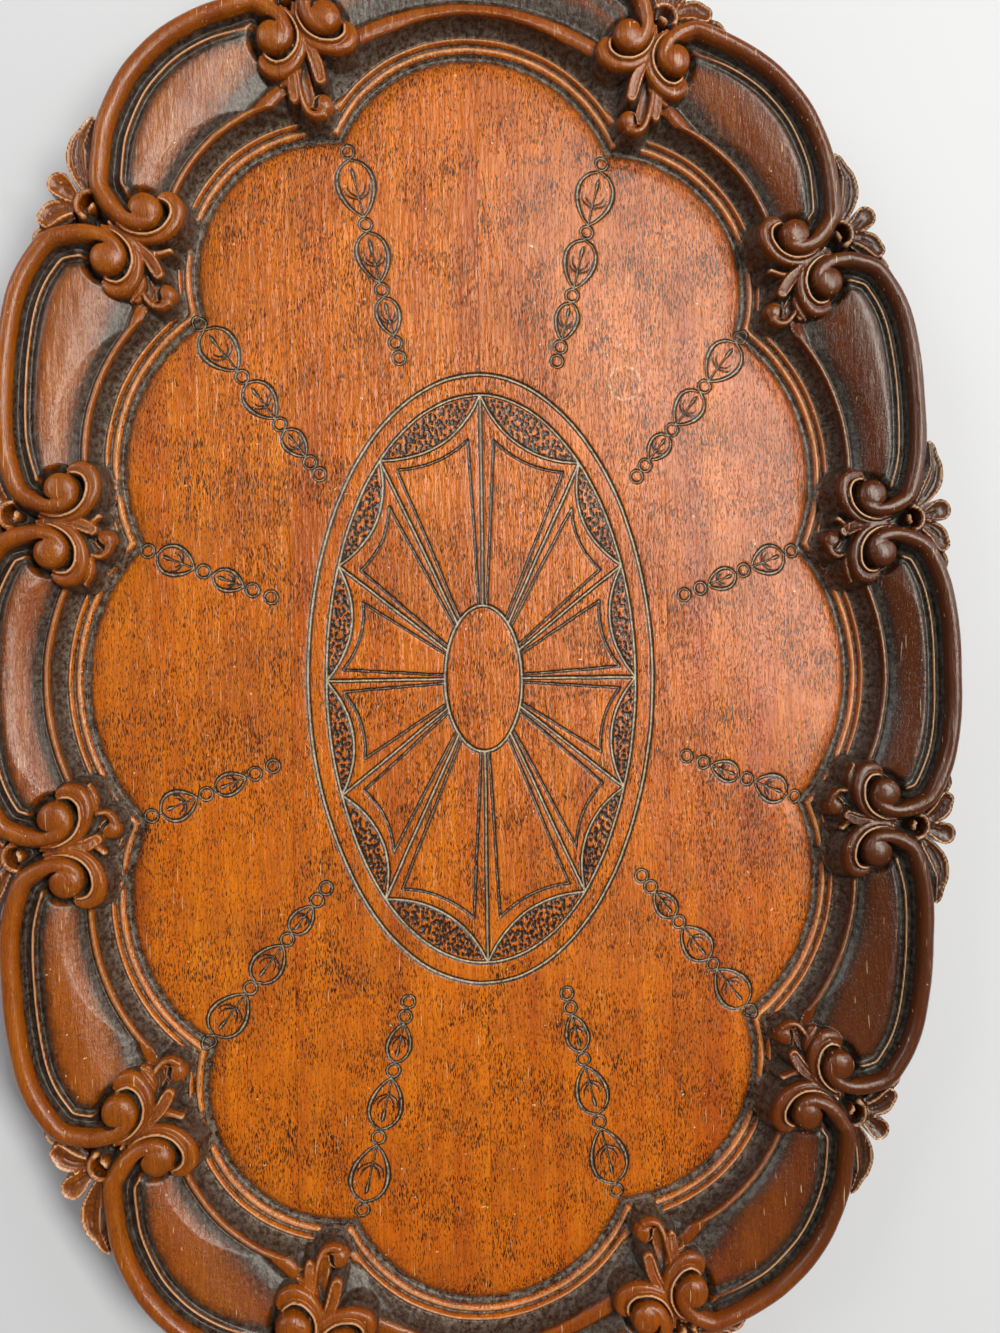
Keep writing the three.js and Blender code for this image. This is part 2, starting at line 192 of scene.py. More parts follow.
scroll = {
    "halfWidth": 2.75,
    "crest": 19.5,
    "crown": 0.95,  # how round the section is, from 0, flat, to 1, a half circle
    "ledge": 0.1,  # of flat ground outside the scroll
    # its way over the side, flank, shoulder and end lobe, as [share of the way between the cusps, outwards]
    "paths": [
        [[0.04, 40.8], [0.15, 46.2], [0.27, 49], [0.39, 50.1], [0.5, 50.2], [0.61, 50.1], [0.73, 49],
         [0.85, 46.2], [0.96, 40.8]],
        [[0.12, 39.2], [0.23, 44.1], [0.34, 47.2], [0.46, 49.6], [0.57, 51.5], [0.69, 52.9], [0.81, 53.6],
         [0.91, 53], [1, 51], [1.08, 47.8]],
        [[0.17, 45.8], [0.27, 51.3], [0.37, 55.6], [0.5, 58.6], [0.63, 59.8], [0.79, 58.2], [0.94, 53.6],
         [1.09, 46]],
        [[-0.035, 49.3], [0.09, 57.6], [0.23, 62.2], [0.37, 63.9], [0.5, 64.1], [0.63, 63.9], [0.77, 62.2],
         [0.91, 57.6], [1.035, 49.3]],
    ],
    # how it curls into its eye, as [outwards, towards the cusp, half width, height]
    "curl": [[12.5, 4.6, 2.75, 19.2], [8.8, 6, 2.75, 18.9], [5.4, 6.5, 2.7, 18.7], [2.3, 6.2, 2.65, 18.5],
             [-0.4, 5.3, 2.5, 18.3], [-2.3, 4, 2.3, 18.1], [-3.6, 2.1, 2, 17.9], [-4, 0, 1.6, 17.6]],
    "notch": [[7.6, 2.2, 0.9, 1.6], [5.6, 3.2, 0.75, 3], [3.6, 4, 0.55, 2.6], [1.9, 4.2, 0.3, 0.9]],
    "eye": (5.4, 18.7, 0.55, 2.5),  # radius, top, crown and squareness
    # leaves round the eye as [distance from its middle, degrees from outwards to the cusp, half width, height]
    "arris": [[10.4, 66, 0.3, 16.4], [9.6, 84, 0.33, 16.5], [8.9, 106, 0.36, 16.6], [8.5, 135, 0.4, 16.6],
              [8.4, 165, 0.42, 16.5], [8.5, 190, 0.45, 16.4], [8.8, 210, 0.45, 16.2], [8.6, 230, 0.45, 15.9],
              [7.5, 248, 0.42, 15.4], [6.3, 265, 0.35, 14.6]],
    "crescent": [[11.6, 66, 0.5, 14.9], [10.6, 86, 0.8, 14.9], [10, 110, 1, 14.9], [9.7, 135, 1.15, 15],
                 [9.7, 160, 1.3, 15], [9.9, 185, 1.6, 15], [10.4, 208, 1.9, 14.8], [10.8, 230, 2.1, 14.6],
                 [9.9, 248, 2, 14.3], [8.4, 261, 1.6, 13.9], [7.4, 268, 0.9, 13.4]],
    "smallLeaf": {
        "side": [[11.6, 180, 0.35, 11.8], [12.9, 198, 0.75, 12.2], [13.7, 213, 0.85, 12.2],
                 [14.3, 226, 0.45, 11.4]],
        "end": [[12.1, 106, 0.4, 12.6], [13.2, 122, 0.8, 12.8], [13.9, 140, 0.95, 12.6], [14.1, 158, 0.7, 12]],
    },
    "leafCrowns": (0.65, 0.6, 0.8),  # of the crescent, the arris and the small leaf
    "steepness": 3.6,  # of the sides of everything that stands up from the ground
    "ballSteepness": 6,
}


def makeLobe(index):
    start, end = cusps[index], cusps[index + 1]
    along = end["at"] - start["at"]
    halfChord = np.hypot(*along) / 2
    along /= 2 * halfChord
    out = np.array([along[1], -along[0]])
    rise = rim["lobeRises"][index]
    lobe = {"radius": (halfChord**2 + rise**2) / (2 * rise)}
    lobe["centre"] = (start["at"] + end["at"]) / 2 + out * (rise - lobe["radius"])
    startSide, endSide = ("side" if index == 0 else "end"), ("end" if index == 3 else "side")
    startEye, endEye = (start[startSide + "Eye"], out, -along), (end[endSide + "Eye"], out, along)
    lobe["eyes"] = [(startEye, startSide), (endEye, endSide)]
    path = place((start["at"], along * 2 * halfChord, out), scroll["paths"][index])
    crest = np.column_stack([path, np.tile([scroll["halfWidth"], scroll["crest"]], (len(path), 1))])
    curls = [place(eye, scroll["curl"]) for eye in (startEye, endEye)]
    lobe["roll"] = spline(np.vstack([curls[0][::-1], crest, curls[1]]))
    lobe["edge"] = spline(np.vstack([start["ring"], path, end["ring"]]), curveSteps["edge"])
    return lobe


lobes = [makeLobe(index) for index in range(4)]
behindMiddle = (-50, -50)  # closes the quarter's outline
edgeLoop = np.vstack([lobe["edge"] for lobe in lobes] + [behindMiddle])

# Mouldings as [distance, height, how dark with grime and painted shade or, below zero, how pale with wear and
# painted highlight], the inner ones from the edge bead outwards and the outer ones from the middle of the
# scroll inwards
mouldings = {
    "inner": [[-20, 0, 0], [-9, 0, 0.05], [-5, -0.4, 0.2], [-2.7, -1.3, 0.7], [-2, -1.35, 0.95],
              [-1.3, 0.1, 0.5], [-0.5, 0.95, -0.6], [0.2, 1.05, -0.9], [0.9, 0.6, 0.2], [1.35, 0.1, 0.9],
              [1.8, 0.7, 0.5], [2.3, 2.1, -0.3], [2.8, 2.5, -0.8], [3.2, 2.1, 0.3], [3.7, 1.8, 0.9],
              [4.5, 3.1, 0.95], [5.6, 5.2, 0.95], [6.5, 6.9, 0.9], [7, 9, 0.55], [7.3, 10, 0], [7.9, 10.5, 0],
              [8.9, 10.3, 0.05], [9.3, 9.3, 0.5], [9.9, 8.8, 1], [10.6, 9.6, 0.9], [12, 10.9, 0.55],
              [13.5, 11.9, 0.3], [15.5, 13.2, 0.1], [18, 14.8, 0], [21, 16.2, 0], [24, 17, 0], [28, 17.3, 0],
              [60, 17.6, 0]],
    "outer": [[0, 14, 0], [2.6, 14, 0.5], [3, 13.6, 1], [4.4, 13.2, 0.9], [5.6, 13.9, 0.8], [6.4, 15, 0.7],
              [6.9, 16, 0.2], [7.25, 16.3, 0], [7.6, 15.2, 0.5], [8.1, 14.3, 1], [8.8, 14.3, 1],
              [9.4, 15.2, 0.8], [10.4, 16.2, 0.5], [12, 16.9, 0.25], [14.5, 17.5, 0.05], [20, 17.9, 0],
              [60, 18.5, 0]],
    "panelFrom": 7,  # distance from the edge bead to the panels
    "rimFrom": -1.5,
    "ellipseReach": 80,  # makes the share beyond the cusps' ellipse about as long as a distance
}

gouge = {
    "hatch": 0.2,  # marks across the cove
    "hatchPitch": 1.7,
    "hatchDrift": (1.2, 9, 7),  # of the marks' spacing: how far, over what length, and a seed
    "hatchStrength": (0.6, 0.5, 22, 8),  # mean, how far round it, over what length, and a seed
    "cove": (3.4, 4.4, 6.2, 7),  # the marks fade in and out at these distances from the edge bead
    "bead": (1.6, 2.4),
    "beadShare": 0.3,
    "ripple": 0.05,  # tool ripple all over the rim
    "rippleFrom": (3, 6),
    "ripples": [(3.1, 5), (9, 6)],  # over what length, and a seed
}

# The ground that the ornaments stand on
ground = {
    "search": {"roll": 26, "edge": 9, "stem": 20},  # how far to look for each
    "coveTop": 7.2,  # distance from the edge bead
    "sunk": 8.4,  # level round the stems
    "slope": 0.05,
    "outside": 13.6,
    "blend": 1.2,  # between the two mouldings
    "clearOfStem": (6, 14),  # the mouldings come up to their full height over these distances
    "clearOfEye": (5.2, 9.5),
    # near stems and eyes, at an ornament's foot and in a leaf's dish the ground is darkened: grime and painted
    # shade
    "waxByStem": (3, 8),
    "waxByEye": (4, 7.5),
    "flank": 2.4,  # how far the sides of an ornament reach
    "waxCreep": (0.1, 0.9),  # from the foot of an ornament
    "waxInDish": 0.9,
    "notchRounding": 0.2,
}


def roundedMoulding(rows):
    distance, height, grime = np.array(rows, float).T
    step = 0.05
    fine = np.arange(distance[0], distance[-1], step)
    weights = np.hanning(int(rim["sharpness"] / step) | 1)
    padded = np.pad(np.interp(fine, distance, height), len(weights) // 2, "edge")
    return fine, np.convolve(padded, weights / weights.sum(), "valid"), np.interp(fine, distance, grime)


innerMoulding, outerMoulding = roundedMoulding(mouldings["inner"]), roundedMoulding(mouldings["outer"])

stemOrnament = {
    "length": 23,  # the drawing below is for a stem of this length, and is drawn out to reach between the eyes
    # strokes as [from the ball to the eyes, to the end's side, half width, height], with their crown and dish
    "strokes": [
        ([[30, -2.4, 0.4, 15.4], [24, -2.6, 0.8, 14], [19.4, -2.6, 1.1, 12.8], [12.7, -3, 1.6, 11.2],
          [6.7, -3.5, 1.9, 9.9], [1.6, -3.9, 1.8, 9.4]], 0, 0.35),
        ([[29, -4, 0.35, 15.6], [18, -3.9, 0.5, 14.6], [13, -5, 0.6, 13.4], [7.6, -6, 0.65, 12.2],
          [2.5, -6.5, 0.7, 11.4], [-1.2, -5.8, 0.85, 10.8], [-3, -3.6, 1.1, 10.6], [-2.9, -1, 1.4, 10.4]],
         0.7, 0),
        ([[23, -0.7, 0.4, 15], [17.5, 1, 1.4, 14.6], [12.5, 1.9, 2, 14], [8.3, 1.8, 1.9, 13.2],
          [6.9, 1.7, 1.7, 12.8]], 0.2, 0.2),
        ([[17.5, -5.6, 0.4, 13.6], [12, -7, 1, 13.2], [7, -8.4, 1.45, 12.4], [3.6, -9, 1.35, 11.4]], 0.2, 0.2),
    ],
    "crest": [[19, 0, 0.3, 0.35], [12.5, 1, 0.35, 0.5], [7.6, 0.9, 0.3, 0.4]],
    "ball": (3.5, 10.8, 0.7, 2.4),  # radius, top, crown and squareness
    "comma": [[-0.2, -2.5, 0.9, 2.4], [1.6, -1.7, 0.75, 2.2], [2.8, -0.2, 0.45, 1.2], [2.6, 0.9, 0.2, 0.3]],
}

fanOrnament = {
    # leaves as [distance from the root, degrees from the axis to the end, half width, height], with a dish
    "leaves": [
        ([[5, 46, 1, 14.4], [10.5, 45, 2.7, 15.6], [16.3, 47, 3.3, 16.2], [21.5, 52.5, 2.5, 16.4],
          [25, 58, 1.7, 16], [28.5, 62, 1.2, 15.6], [30, 64, 0.6, 15]], 0.45),
        ([[7, -56, 0.9, 13.6], [12, -58, 1.6, 14.6], [17, -59, 1.9, 15.2], [20.5, -61, 1.8, 15.4],
          [23, -64, 0.9, 15]], 0.5),
        ([[4.6, -34, 1.2, 14.8], [8.5, -35, 2.7, 16], [12, -40, 3.2, 16.7], [15.5, -48, 2.7, 16.6]], 0.42),
        ([[4.6, 2, 1.2, 15], [8, 3, 3, 16.4], [11.2, 5, 4, 17.4]], 0.36),
    ],
    "halfRing": [[4.5, angle, 0.85, 17] for angle in range(-84, 71, 22)],
    "halfRingCrown": 0.8,
    "bud": (1.8, 16, 0.8, 2),  # radius, top, crown and squareness
    "budOutwards": 0.6,
    "veins": [-0.5, 0, 0.5],  # across a leaf, as shares of its half width
    "veinSize": (0.45, 0.4),  # half width and depth
}

medallion = {
    "outer": (64, 112.5),
    "inner": (57.4, 105),
    "centre": (14.2, 27),
    "spokeTurns": [0, 23.5, 49.8, 90],  # where the spokes meet the inner ellipse, in degrees of its parameter
    "lineHalfWidth": 0.9,
    "lineDepth": 0.62,
    "ringShares": {"outer": 1.1, "inner": 1, "centre": 1.1},  # of the half width
    "lunetteSagitta": 6.9,
    # inset panels: [in from the spoke's end, away from the spoke], first at the spoke nearer the side
    "insetCorners": [((6, 4), (15.1, 5.2)), ((7.4, 3.7), (16.7, 4.3)), ((5.7, 4.2), (16.5, 4.8))],
    "insetSagitta": 2.6,
    "insetFoot": (0.5, 1.5),  # short of the spoke's foot, away from the spoke
    "insetShares": (0.72, 0.8),  # of the half width and of the depth
    "matting": {"ring": (0.012, 0.35), "spoke": 0.02, "bow": 0.6},  # shares, shares and millimetres
    "punch": {"depth": 0.32, "pitch": 1.25, "stretch": (1, 0.7), "spread": 0.42, "mark": (0.18, 0.55)},
}

huskChains = {
    # chains as the first and last bead, the husks' lengths and their greatest widths, from the rim inwards
    "chains": [
        ((119.5, 47.2), (76.8, 30.5), [13.5, 11.5], [12.5, 9.5]),
        ((100.7, 128.8), (58.8, 75.2), [18.5, 16, 12], [15, 13, 9.5]),
        ((47.3, 193), (29.5, 118), [21.4, 19, 14.4], [15.6, 13.6, 10.2]),
    ],
    "beadRadius": 2.3,
    "lineHalfWidth": 0.62,
    "lineDepth": 0.55,
    "crescentHalfWidth": 1.15,  # the sides of a husk this wide are cut broader than its ends
    "crescentHusk": 15,
    # within a husk, in shares of its length and width
    "sprigs": [(0.66, 0.4, 0.23), (0.7, 0.47, 0.32)],  # foot, tip, how far aside
    "sprigCuts": [(0.4, 0.7), (0.35, 0.6), (0.18, 0.3)],  # half width, share of the depth
    "stem": [(0.16, 0.3), (0.22, 0.8), (0.3, 0.85), (0.4, 0.45), (0.7, 0.4), (1, 0.5)],  # along, half width
}


def beside(line, share):  # the same line moved aside by a share of its half width
    way = np.gradient(line[:, :2], axis=0)
    way /= np.hypot(*way.T)[:, None]
    moved = line.copy()
    moved[:, :2] += np.column_stack([-way[:, 1], way[:, 0]]) * line[:, 2:3] * share
    return moved


def makeOrnaments():  # strokes stand up from the ground, domes are round, notches are cut in afterwards
    strokes, domes, notches = [], [], []
    fine = curveSteps["ornament"]
    for lobe in lobes:
        strokes.append((lobe["roll"], scroll["crown"], 0))
        for eye, side in lobe["eyes"]:
            domes.append((eye[0], *scroll["eye"]))
            notches.append(spline(place(eye, scroll["notch"])))
            leaves = (scroll["crescent"], scroll["arris"], scroll["smallLeaf"][side])
            for rows, crown in zip(leaves, scroll["leafCrowns"]):
                strokes.append((spline(place(eye, polar(rows)), fine), crown, 0))
    for cusp in cusps[1:4]:
        between = (cusp["sideEye"] + cusp["endEye"]) / 2
        origin, first, second = facing(cusp["ball"], between)
        stem = (origin, first * np.hypot(*(between - origin)) / stemOrnament["length"], second)
        for rows, crown, dish in stemOrnament["strokes"]:
            strokes.append((spline(place(stem, rows), fine), crown, dish))
        notches.append(spline(place(stem, stemOrnament["crest"]), fine))
        domes.append((cusp["ball"], *stemOrnament["ball"]))
        notches.append(spline(place((origin, first, second), stemOrnament["comma"]), curveSteps["comma"]))
        for rows, dish in fanOrnament["leaves"]:
            leaf = spline(place(cusp["fan"], polar(rows)), fine)
            strokes.append((leaf, 0, dish))
            for share in fanOrnament["veins"]:
                vein = beside(leaf, share)[len(leaf) // 5: -len(leaf) // 5]
                vein[:, 2:] = fanOrnament["veinSize"]
                notches.append(vein)
        halfRing = spline(place(cusp["fan"], polar(fanOrnament["halfRing"])), fine)
        strokes.append((halfRing, fanOrnament["halfRingCrown"], 0))
        domes.append((cusp["ring"] + cusp["fan"][1] * fanOrnament["budOutwards"], *fanOrnament["bud"]))
    return strokes, domes, notches


def ellipsePoint(size, degrees):
    return np.array([size[0] * math.cos(math.radians(degrees)), size[1] * math.sin(math.radians(degrees))])


def bowed(start, end, sagitta, halfWidth, depth):  # a line that bows to its left
    origin, first, second = facing(start, end)
    length = np.hypot(*(end - start))
    rows = [[length * t, sagitta * 4 * t * (1 - t), halfWidth, depth] for t in np.linspace(0, 1, 9)]
    return spline(place((origin, first, second), rows), curveSteps["field"])


def makeMedallionLines():
    width, depth = medallion["lineHalfWidth"], medallion["lineDepth"]
    lines = []
    for name, share in medallion["ringShares"].items():
        rows = [[*ellipsePoint(medallion[name], turn), width * share, depth] for turn in range(-6, 97, 2)]
        lines.append(spline(rows, curveSteps["field"]))
    ends = [ellipsePoint(medallion["inner"], turn) for turn in medallion["spokeTurns"]]
    feet = [end / np.hypot(*(end / medallion["centre"])) for end in ends]
    lines += [bowed(end, foot, 0, width, depth) for end, foot in zip(ends, feet)]
    inset = width * medallion["insetShares"][0], depth * medallion["insetShares"][1]
    short, clear = medallion["insetFoot"]
    for i, corners in enumerate(medallion["insetCorners"]):
        lines.append(bowed(ends[i], ends[i + 1], medallion["lunetteSagitta"], width, depth))
        tips = []
        for spoke, side, (inwards, aside) in ((i, 1, corners[0]), (i + 1, -1, corners[1])):
            origin, first, second = facing(ends[spoke], feet[spoke])
            length = np.hypot(*(feet[spoke] - ends[spoke]))
            tips.append(origin + first * inwards - second * aside * side)
            foot = origin + first * (length - short) - second * clear * side
            lines.append(bowed(tips[-1], foot, 0, *inset))
        lines.append(bowed(*tips, medallion["insetSagitta"], *inset))
    return lines, ends


def makeHusk(local, length, width):  # local runs from the husk's round end to its point
    depth, thin = huskChains["lineDepth"], huskChains["lineHalfWidth"]
    swelling = huskChains["crescentHalfWidth"] - thin
    drawn = []
    for side in (-1, 1):
        crescent = []
        for t in np.linspace(0, 1, 13):
            bulge = math.sin(math.pi * t**0.82) ** 0.8
            cut = thin + swelling * max(0, math.sin(math.pi * t)) ** 2 * width / huskChains["crescentHusk"]
            crescent.append([length * t, side * (width / 2 - cut) * bulge, cut, depth])
        drawn.append(crescent)
        for foot, tip, aside in huskChains["sprigs"]:
            middle, reach = length * (foot + tip) / 2 * 1.04, side * width * aside
            places = [(length * foot, 0), (middle, reach * 0.75), (length * tip, reach)]
            cuts = [(halfWidth, depth * share) for halfWidth, share in huskChains["sprigCuts"]]
            drawn.append([[*at, *cut] for at, cut in zip(places, cuts)])
    drawn.append([[length * t, 0, halfWidth, depth] for t, halfWidth in huskChains["stem"]])
    return [spline(place(local, rows), curveSteps["ornament"]) for rows in drawn]


def makeChainLines():
    lines = []
    radius, width, depth = [huskChains[name] for name in ("beadRadius", "lineHalfWidth", "lineDepth")]
    turns = np.radians(np.arange(0, 361, 12))
    for first, last, lengths, widths in huskChains["chains"]:
        origin, along, across = facing(np.array(first), np.array(last))
        pitch = (math.dist(first, last) - sum(lengths)) / (len(lengths) + 1)  # for the bead between two husks
        beads = [0]
        for length, broad in zip(lengths, widths):
            start = beads[-1] + pitch / 2
            lines += makeHusk((origin + along * start, along, across), length, broad)
            beads.append(start + length + pitch / 2)
        beads.append(math.dist(first, last))
        for bead in beads:
            ring = [[bead + radius * math.cos(t), radius * math.sin(t), width, depth] for t in turns]
            lines.append(spline(place((origin, along, across), ring), curveSteps["ornament"]))
    return lines


strokes, domes, notches = makeOrnaments()
medallionLines, spokeEnds = makeMedallionLines()
fieldLines = medallionLines + makeChainLines()


def inLunettes(plan):  # between the medallion's spokes, where the field is matted with a punch
    matting = medallion["matting"]
    inside = 1 - np.hypot(*(plan / medallion["inner"]).T)
    near = np.flatnonzero((inside > matting["ring"][0]) & (inside < matting["ring"][1]))
    found = np.zeros(len(plan), bool)
    for start, end in zip(spokeEnds, spokeEnds[1:]):
        origin, first, second = facing(start, end)
        along = (plan[near] - origin) @ first / np.hypot(*(end - start))
        across = (plan[near] - origin) @ second
        bow = medallion["lunetteSagitta"] * 4 * along * (1 - along)
        between = (along > matting["spoke"]) & (along < 1 - matting["spoke"])
        found[near[between & (across < bow - matting["bow"])]] = True
    return found


def punched(points):  # depth of irregular punch marks
    punch = medallion["punch"]
    points = points * punch["stretch"] / punch["pitch"]
    cell = np.floor(points)
    away = np.full(len(points), 9.0)
    for i in (-1, 0, 1):
        for j in (-1, 0, 1):
            corner = cell + (i, j)
            seed = np.sin(corner @ [12.9898, 78.233]) * 43758.5453  # as good as random for each cell
            spot = corner + 0.5 + punch["spread"] * np.column_stack([np.sin(seed * 7.1), np.cos(seed * 3.7)])
            gap = points - spot
            away = np.minimum(away, np.hypot(*gap.T))
    return punch["depth"] * (1 - smooth(away, *punch["mark"]))


def groundHeight(plan, bead, height, rollAway, stemAway, eyeAway, inside):
    full = softLower(height, np.interp(rollAway, *outerMoulding[:2]), ground["blend"])
    low = ground["sunk"] + ground["slope"] * (bead - ground["coveTop"])
    low = np.where(bead < ground["coveTop"], height, low)
    fullness = smooth(stemAway, *ground["clearOfStem"]) * smooth(eyeAway, *ground["clearOfEye"])
    return np.where(inside, low + (full - low) * fullness, ground["outside"])


def carveRim(plan, bead, height, grime):  # height, and darkening by grime and painted shade, on the rim, and signed distance to the outline
    rollAway, edgeAway, stemAway, eyeAway = [np.full(len(plan), 99.0) for _ in range(4)]
    for lobe in lobes:
        bringNearer(rollAway, plan, lobe["roll"], ground["search"]["roll"])
        bringNearer(edgeAway, plan, lobe["edge"], ground["search"]["edge"])
        for eye, _ in lobe["eyes"]:
            gap = plan - eye[0]
            eyeAway = np.minimum(eyeAway, np.hypot(*gap.T))
    for cusp in cusps[1:4]:
        stem = spline([cusp["at"], cusp["ball"], cusp["ring"]])
        bringNearer(stemAway, plan, stem, ground["search"]["stem"])
    inside = insideLoop(plan, edgeLoop)
    carved = groundHeight(plan, bead, height, rollAway, stemAway, eyeAway, inside)
    # darker round the ornaments and in the grooves beside the scroll: grime and painted shade
    byOrnament = (1 - smooth(stemAway, *ground["waxByStem"]) * smooth(eyeAway, *ground["waxByEye"])) ** 2
    outerGrimeAndShade = np.maximum(np.interp(rollAway, outerMoulding[0], outerMoulding[2]), byOrnament)
    grime = np.where(bead > mouldings["panelFrom"], np.maximum(grime, outerGrimeAndShade), grime)
    outline = rollAway - scroll["halfWidth"] - scroll["ledge"]
    outline = np.minimum(np.where(inside, -edgeAway, edgeAway), outline)

    def build(near, section, grimeAndShadeHere):
        higher = section > carved[near]
        grime[near[higher]] = grimeAndShadeHere[higher]
        carved[near[higher]] = section[higher]

    for line, crown, dish in strokes:
        near, away, row = nearest(plan, line, line[:, 2].max() + ground["flank"])
        width, top = line[row, 2], line[row, 3]
        outline[near] = np.minimum(outline[near], away - width)
        u = np.minimum(away / width, 1)
        section = top - width * (crown * (1 - np.sqrt(1 - (rim["steepest"] * u) ** 2)) + dish * (1 - u * u))
        section -= scroll["steepness"] * np.maximum(away - width, 0)
        # darker in a leaf's dish and at the foot of each stroke: grime and painted shade
        grimeAndShadeHere = ground["waxInDish"] * dish * (1 - u * u) + smooth(away - width, *ground["waxCreep"])
        build(near, section, grimeAndShadeHere)
    for centre, radius, top, crown, squareness in domes:
        gap = plan - centre
        away = np.hypot(*gap.T)
        near = np.flatnonzero(away < radius + ground["flank"])
        away = away[near]
        u = np.minimum(rim["steepest"] * away / radius, rim["steepest"])
        section = top - radius * crown * (1 - np.sqrt(1 - u**squareness))
        section -= scroll["ballSteepness"] * np.maximum(away - radius, 0)
        # darker at the foot of each dome: grime and painted shade
        build(near, section, smooth(away - radius, *ground["waxCreep"]))
    depth = np.zeros(len(plan))
    for line in notches:
        near, away, row = nearest(plan, line, line[:, 2].max() + ground["notchRounding"])
        share = away / line[row, 2]
        depth[near] = np.maximum(depth[near], line[row, 3] * (1 - smooth(share, 0, 1.1)))
    # the notches darken the colour too: grime and painted shade
    return carved - depth, np.where(depth > 0.05, np.maximum(grime, smooth(depth, 0.1, 1)), grime), outline


def gougeMarks(points, plan, bead, fromCentres):
    around = np.zeros(len(plan))
    for lobe, fromCentre in zip(lobes, fromCentres):
        gap = plan - lobe["centre"]
        around = np.where(fromCentre == bead, np.arctan2(gap[:, 1], gap[:, 0]) * lobe["radius"], around)
    drift, *way = gouge["hatchDrift"]
    around += drift * sway(points, *way)
    cove = gouge["cove"]
    shown = smooth(bead, *cove[:2]) * (1 - smooth(bead, *cove[2:]))
    shown = shown + gouge["beadShare"] * smooth(bead, *gouge["bead"]) * (bead < cove[0])
    mean, spread, *way = gouge["hatchStrength"]
    strength = mean + spread * sway(points, *way)
    hatch = gouge["hatch"] * shown * strength * np.sin(2 * math.pi * around / gouge["hatchPitch"])
    ripples = sum(sway(points, *way) for way in gouge["ripples"])
    return hatch, gouge["ripple"] * smooth(bead, *gouge["rippleFrom"]) * ripples


def relief(points):  # height, signed distance to the outline, depth of the cut lines and darkening by grime and painted shade at each point
    wander = sum(size * np.column_stack([sway(points, length, seed), sway(points, length, seed + 1)])
                 for size, length, seed in rim["handWobbles"])
    plan = np.abs(points + wander)
    fromCentres = [np.hypot(*(plan - lobe["centre"]).T) - lobe["radius"] for lobe in lobes]
    middle = (np.hypot(*(plan / cuspEllipse).T) - 1) * mouldings["ellipseReach"]
    bead = np.minimum.reduce(fromCentres + [middle])
    height, grime = [np.interp(bead, innerMoulding[0], values) for values in innerMoulding[1:]]
    for marks in gougeMarks(points, plan, bead, fromCentres):
        height += marks
    outline = np.full(len(plan), -20.0)
    onRim = np.flatnonzero(bead > mouldings["rimFrom"])
    carved = carveRim(plan[onRim], bead[onRim], height[onRim], grime[onRim])
    height[onRim], grime[onRim], outline[onRim] = carved
    cut = np.zeros(len(plan))
    onField = np.flatnonzero(bead < 0)
    for line in fieldLines:
        near, away, row = nearest(plan[onField], line, line[:, 2].max())
        near = onField[near]
        cut[near] = np.maximum(cut[near], line[row, 3] * np.clip(1 - away / line[row, 2], 0, 1))
    matted = np.flatnonzero(inLunettes(plan))
    cut[matted] = np.maximum(cut[matted], punched(points[matted]))
    return np.minimum(height - cut, scroll["crest"]), outline, cut, grime


# The carved surface is a square grid that is fine where the carving is and coarse on the plain field.
grid = {
    "step": 0.25,
    "levels": [8, 4, 2, 1],  # cell sizes in steps
    "tolerance": [0.025, 0.035, 0.45],  # how uneven a cell of each size may be before it's split
    "edgeBand": 1.6,  # cells are small this near to the outline
    "halfWidth": 180,
    "halfLength": 270,
}
gridCorner = -np.array([grid["halfWidth"], grid["halfLength"]])
columns, rowsUp = int(2 * grid["halfWidth"] / grid["step"]), int(2 * grid["halfLength"] / grid["step"])
stride = columns + 1


def latticePoints(ids):
    return np.column_stack([ids % stride, ids // stride]) * grid["step"] + gridCorner


def blockAny(mask, size=2):
    return mask.reshape(mask.shape[0] // size, size, mask.shape[1] // size, size).any(axis=(1, 3))


def doubled(mask):
    return mask.repeat(2, 0).repeat(2, 1)


def grown(mask):
    high, wide = mask.shape
    padded = np.pad(mask, 1)
    return np.logical_or.reduce([padded[j:j + high, i:i + wide] for i in range(3) for j in range(3)])


def cornersOf(values):
    return values[:-1, :-1], values[1:, :-1], values[:-1, 1:], values[1:, 1:]


def cornerMax(values):
    return np.maximum.reduce(cornersOf(values))


def flatness(values, size):  # how far each cell of this many steps departs from its corners' average
    centre = values[size // 2::size, size // 2::size]
    corners = values[::size, ::size]
    edgeX = np.abs(values[::size, size // 2::size] - (corners[:, :-1] + corners[:, 1:]) / 2)
    edgeY = np.abs(values[size // 2::size, ::size] - (corners[:-1] + corners[1:]) / 2)
    fromMean = np.abs(centre - sum(cornersOf(corners)) / 4)
    return np.maximum.reduce([fromMean, edgeX[:-1], edgeX[1:], edgeY[:, :-1], edgeY[:, 1:]])


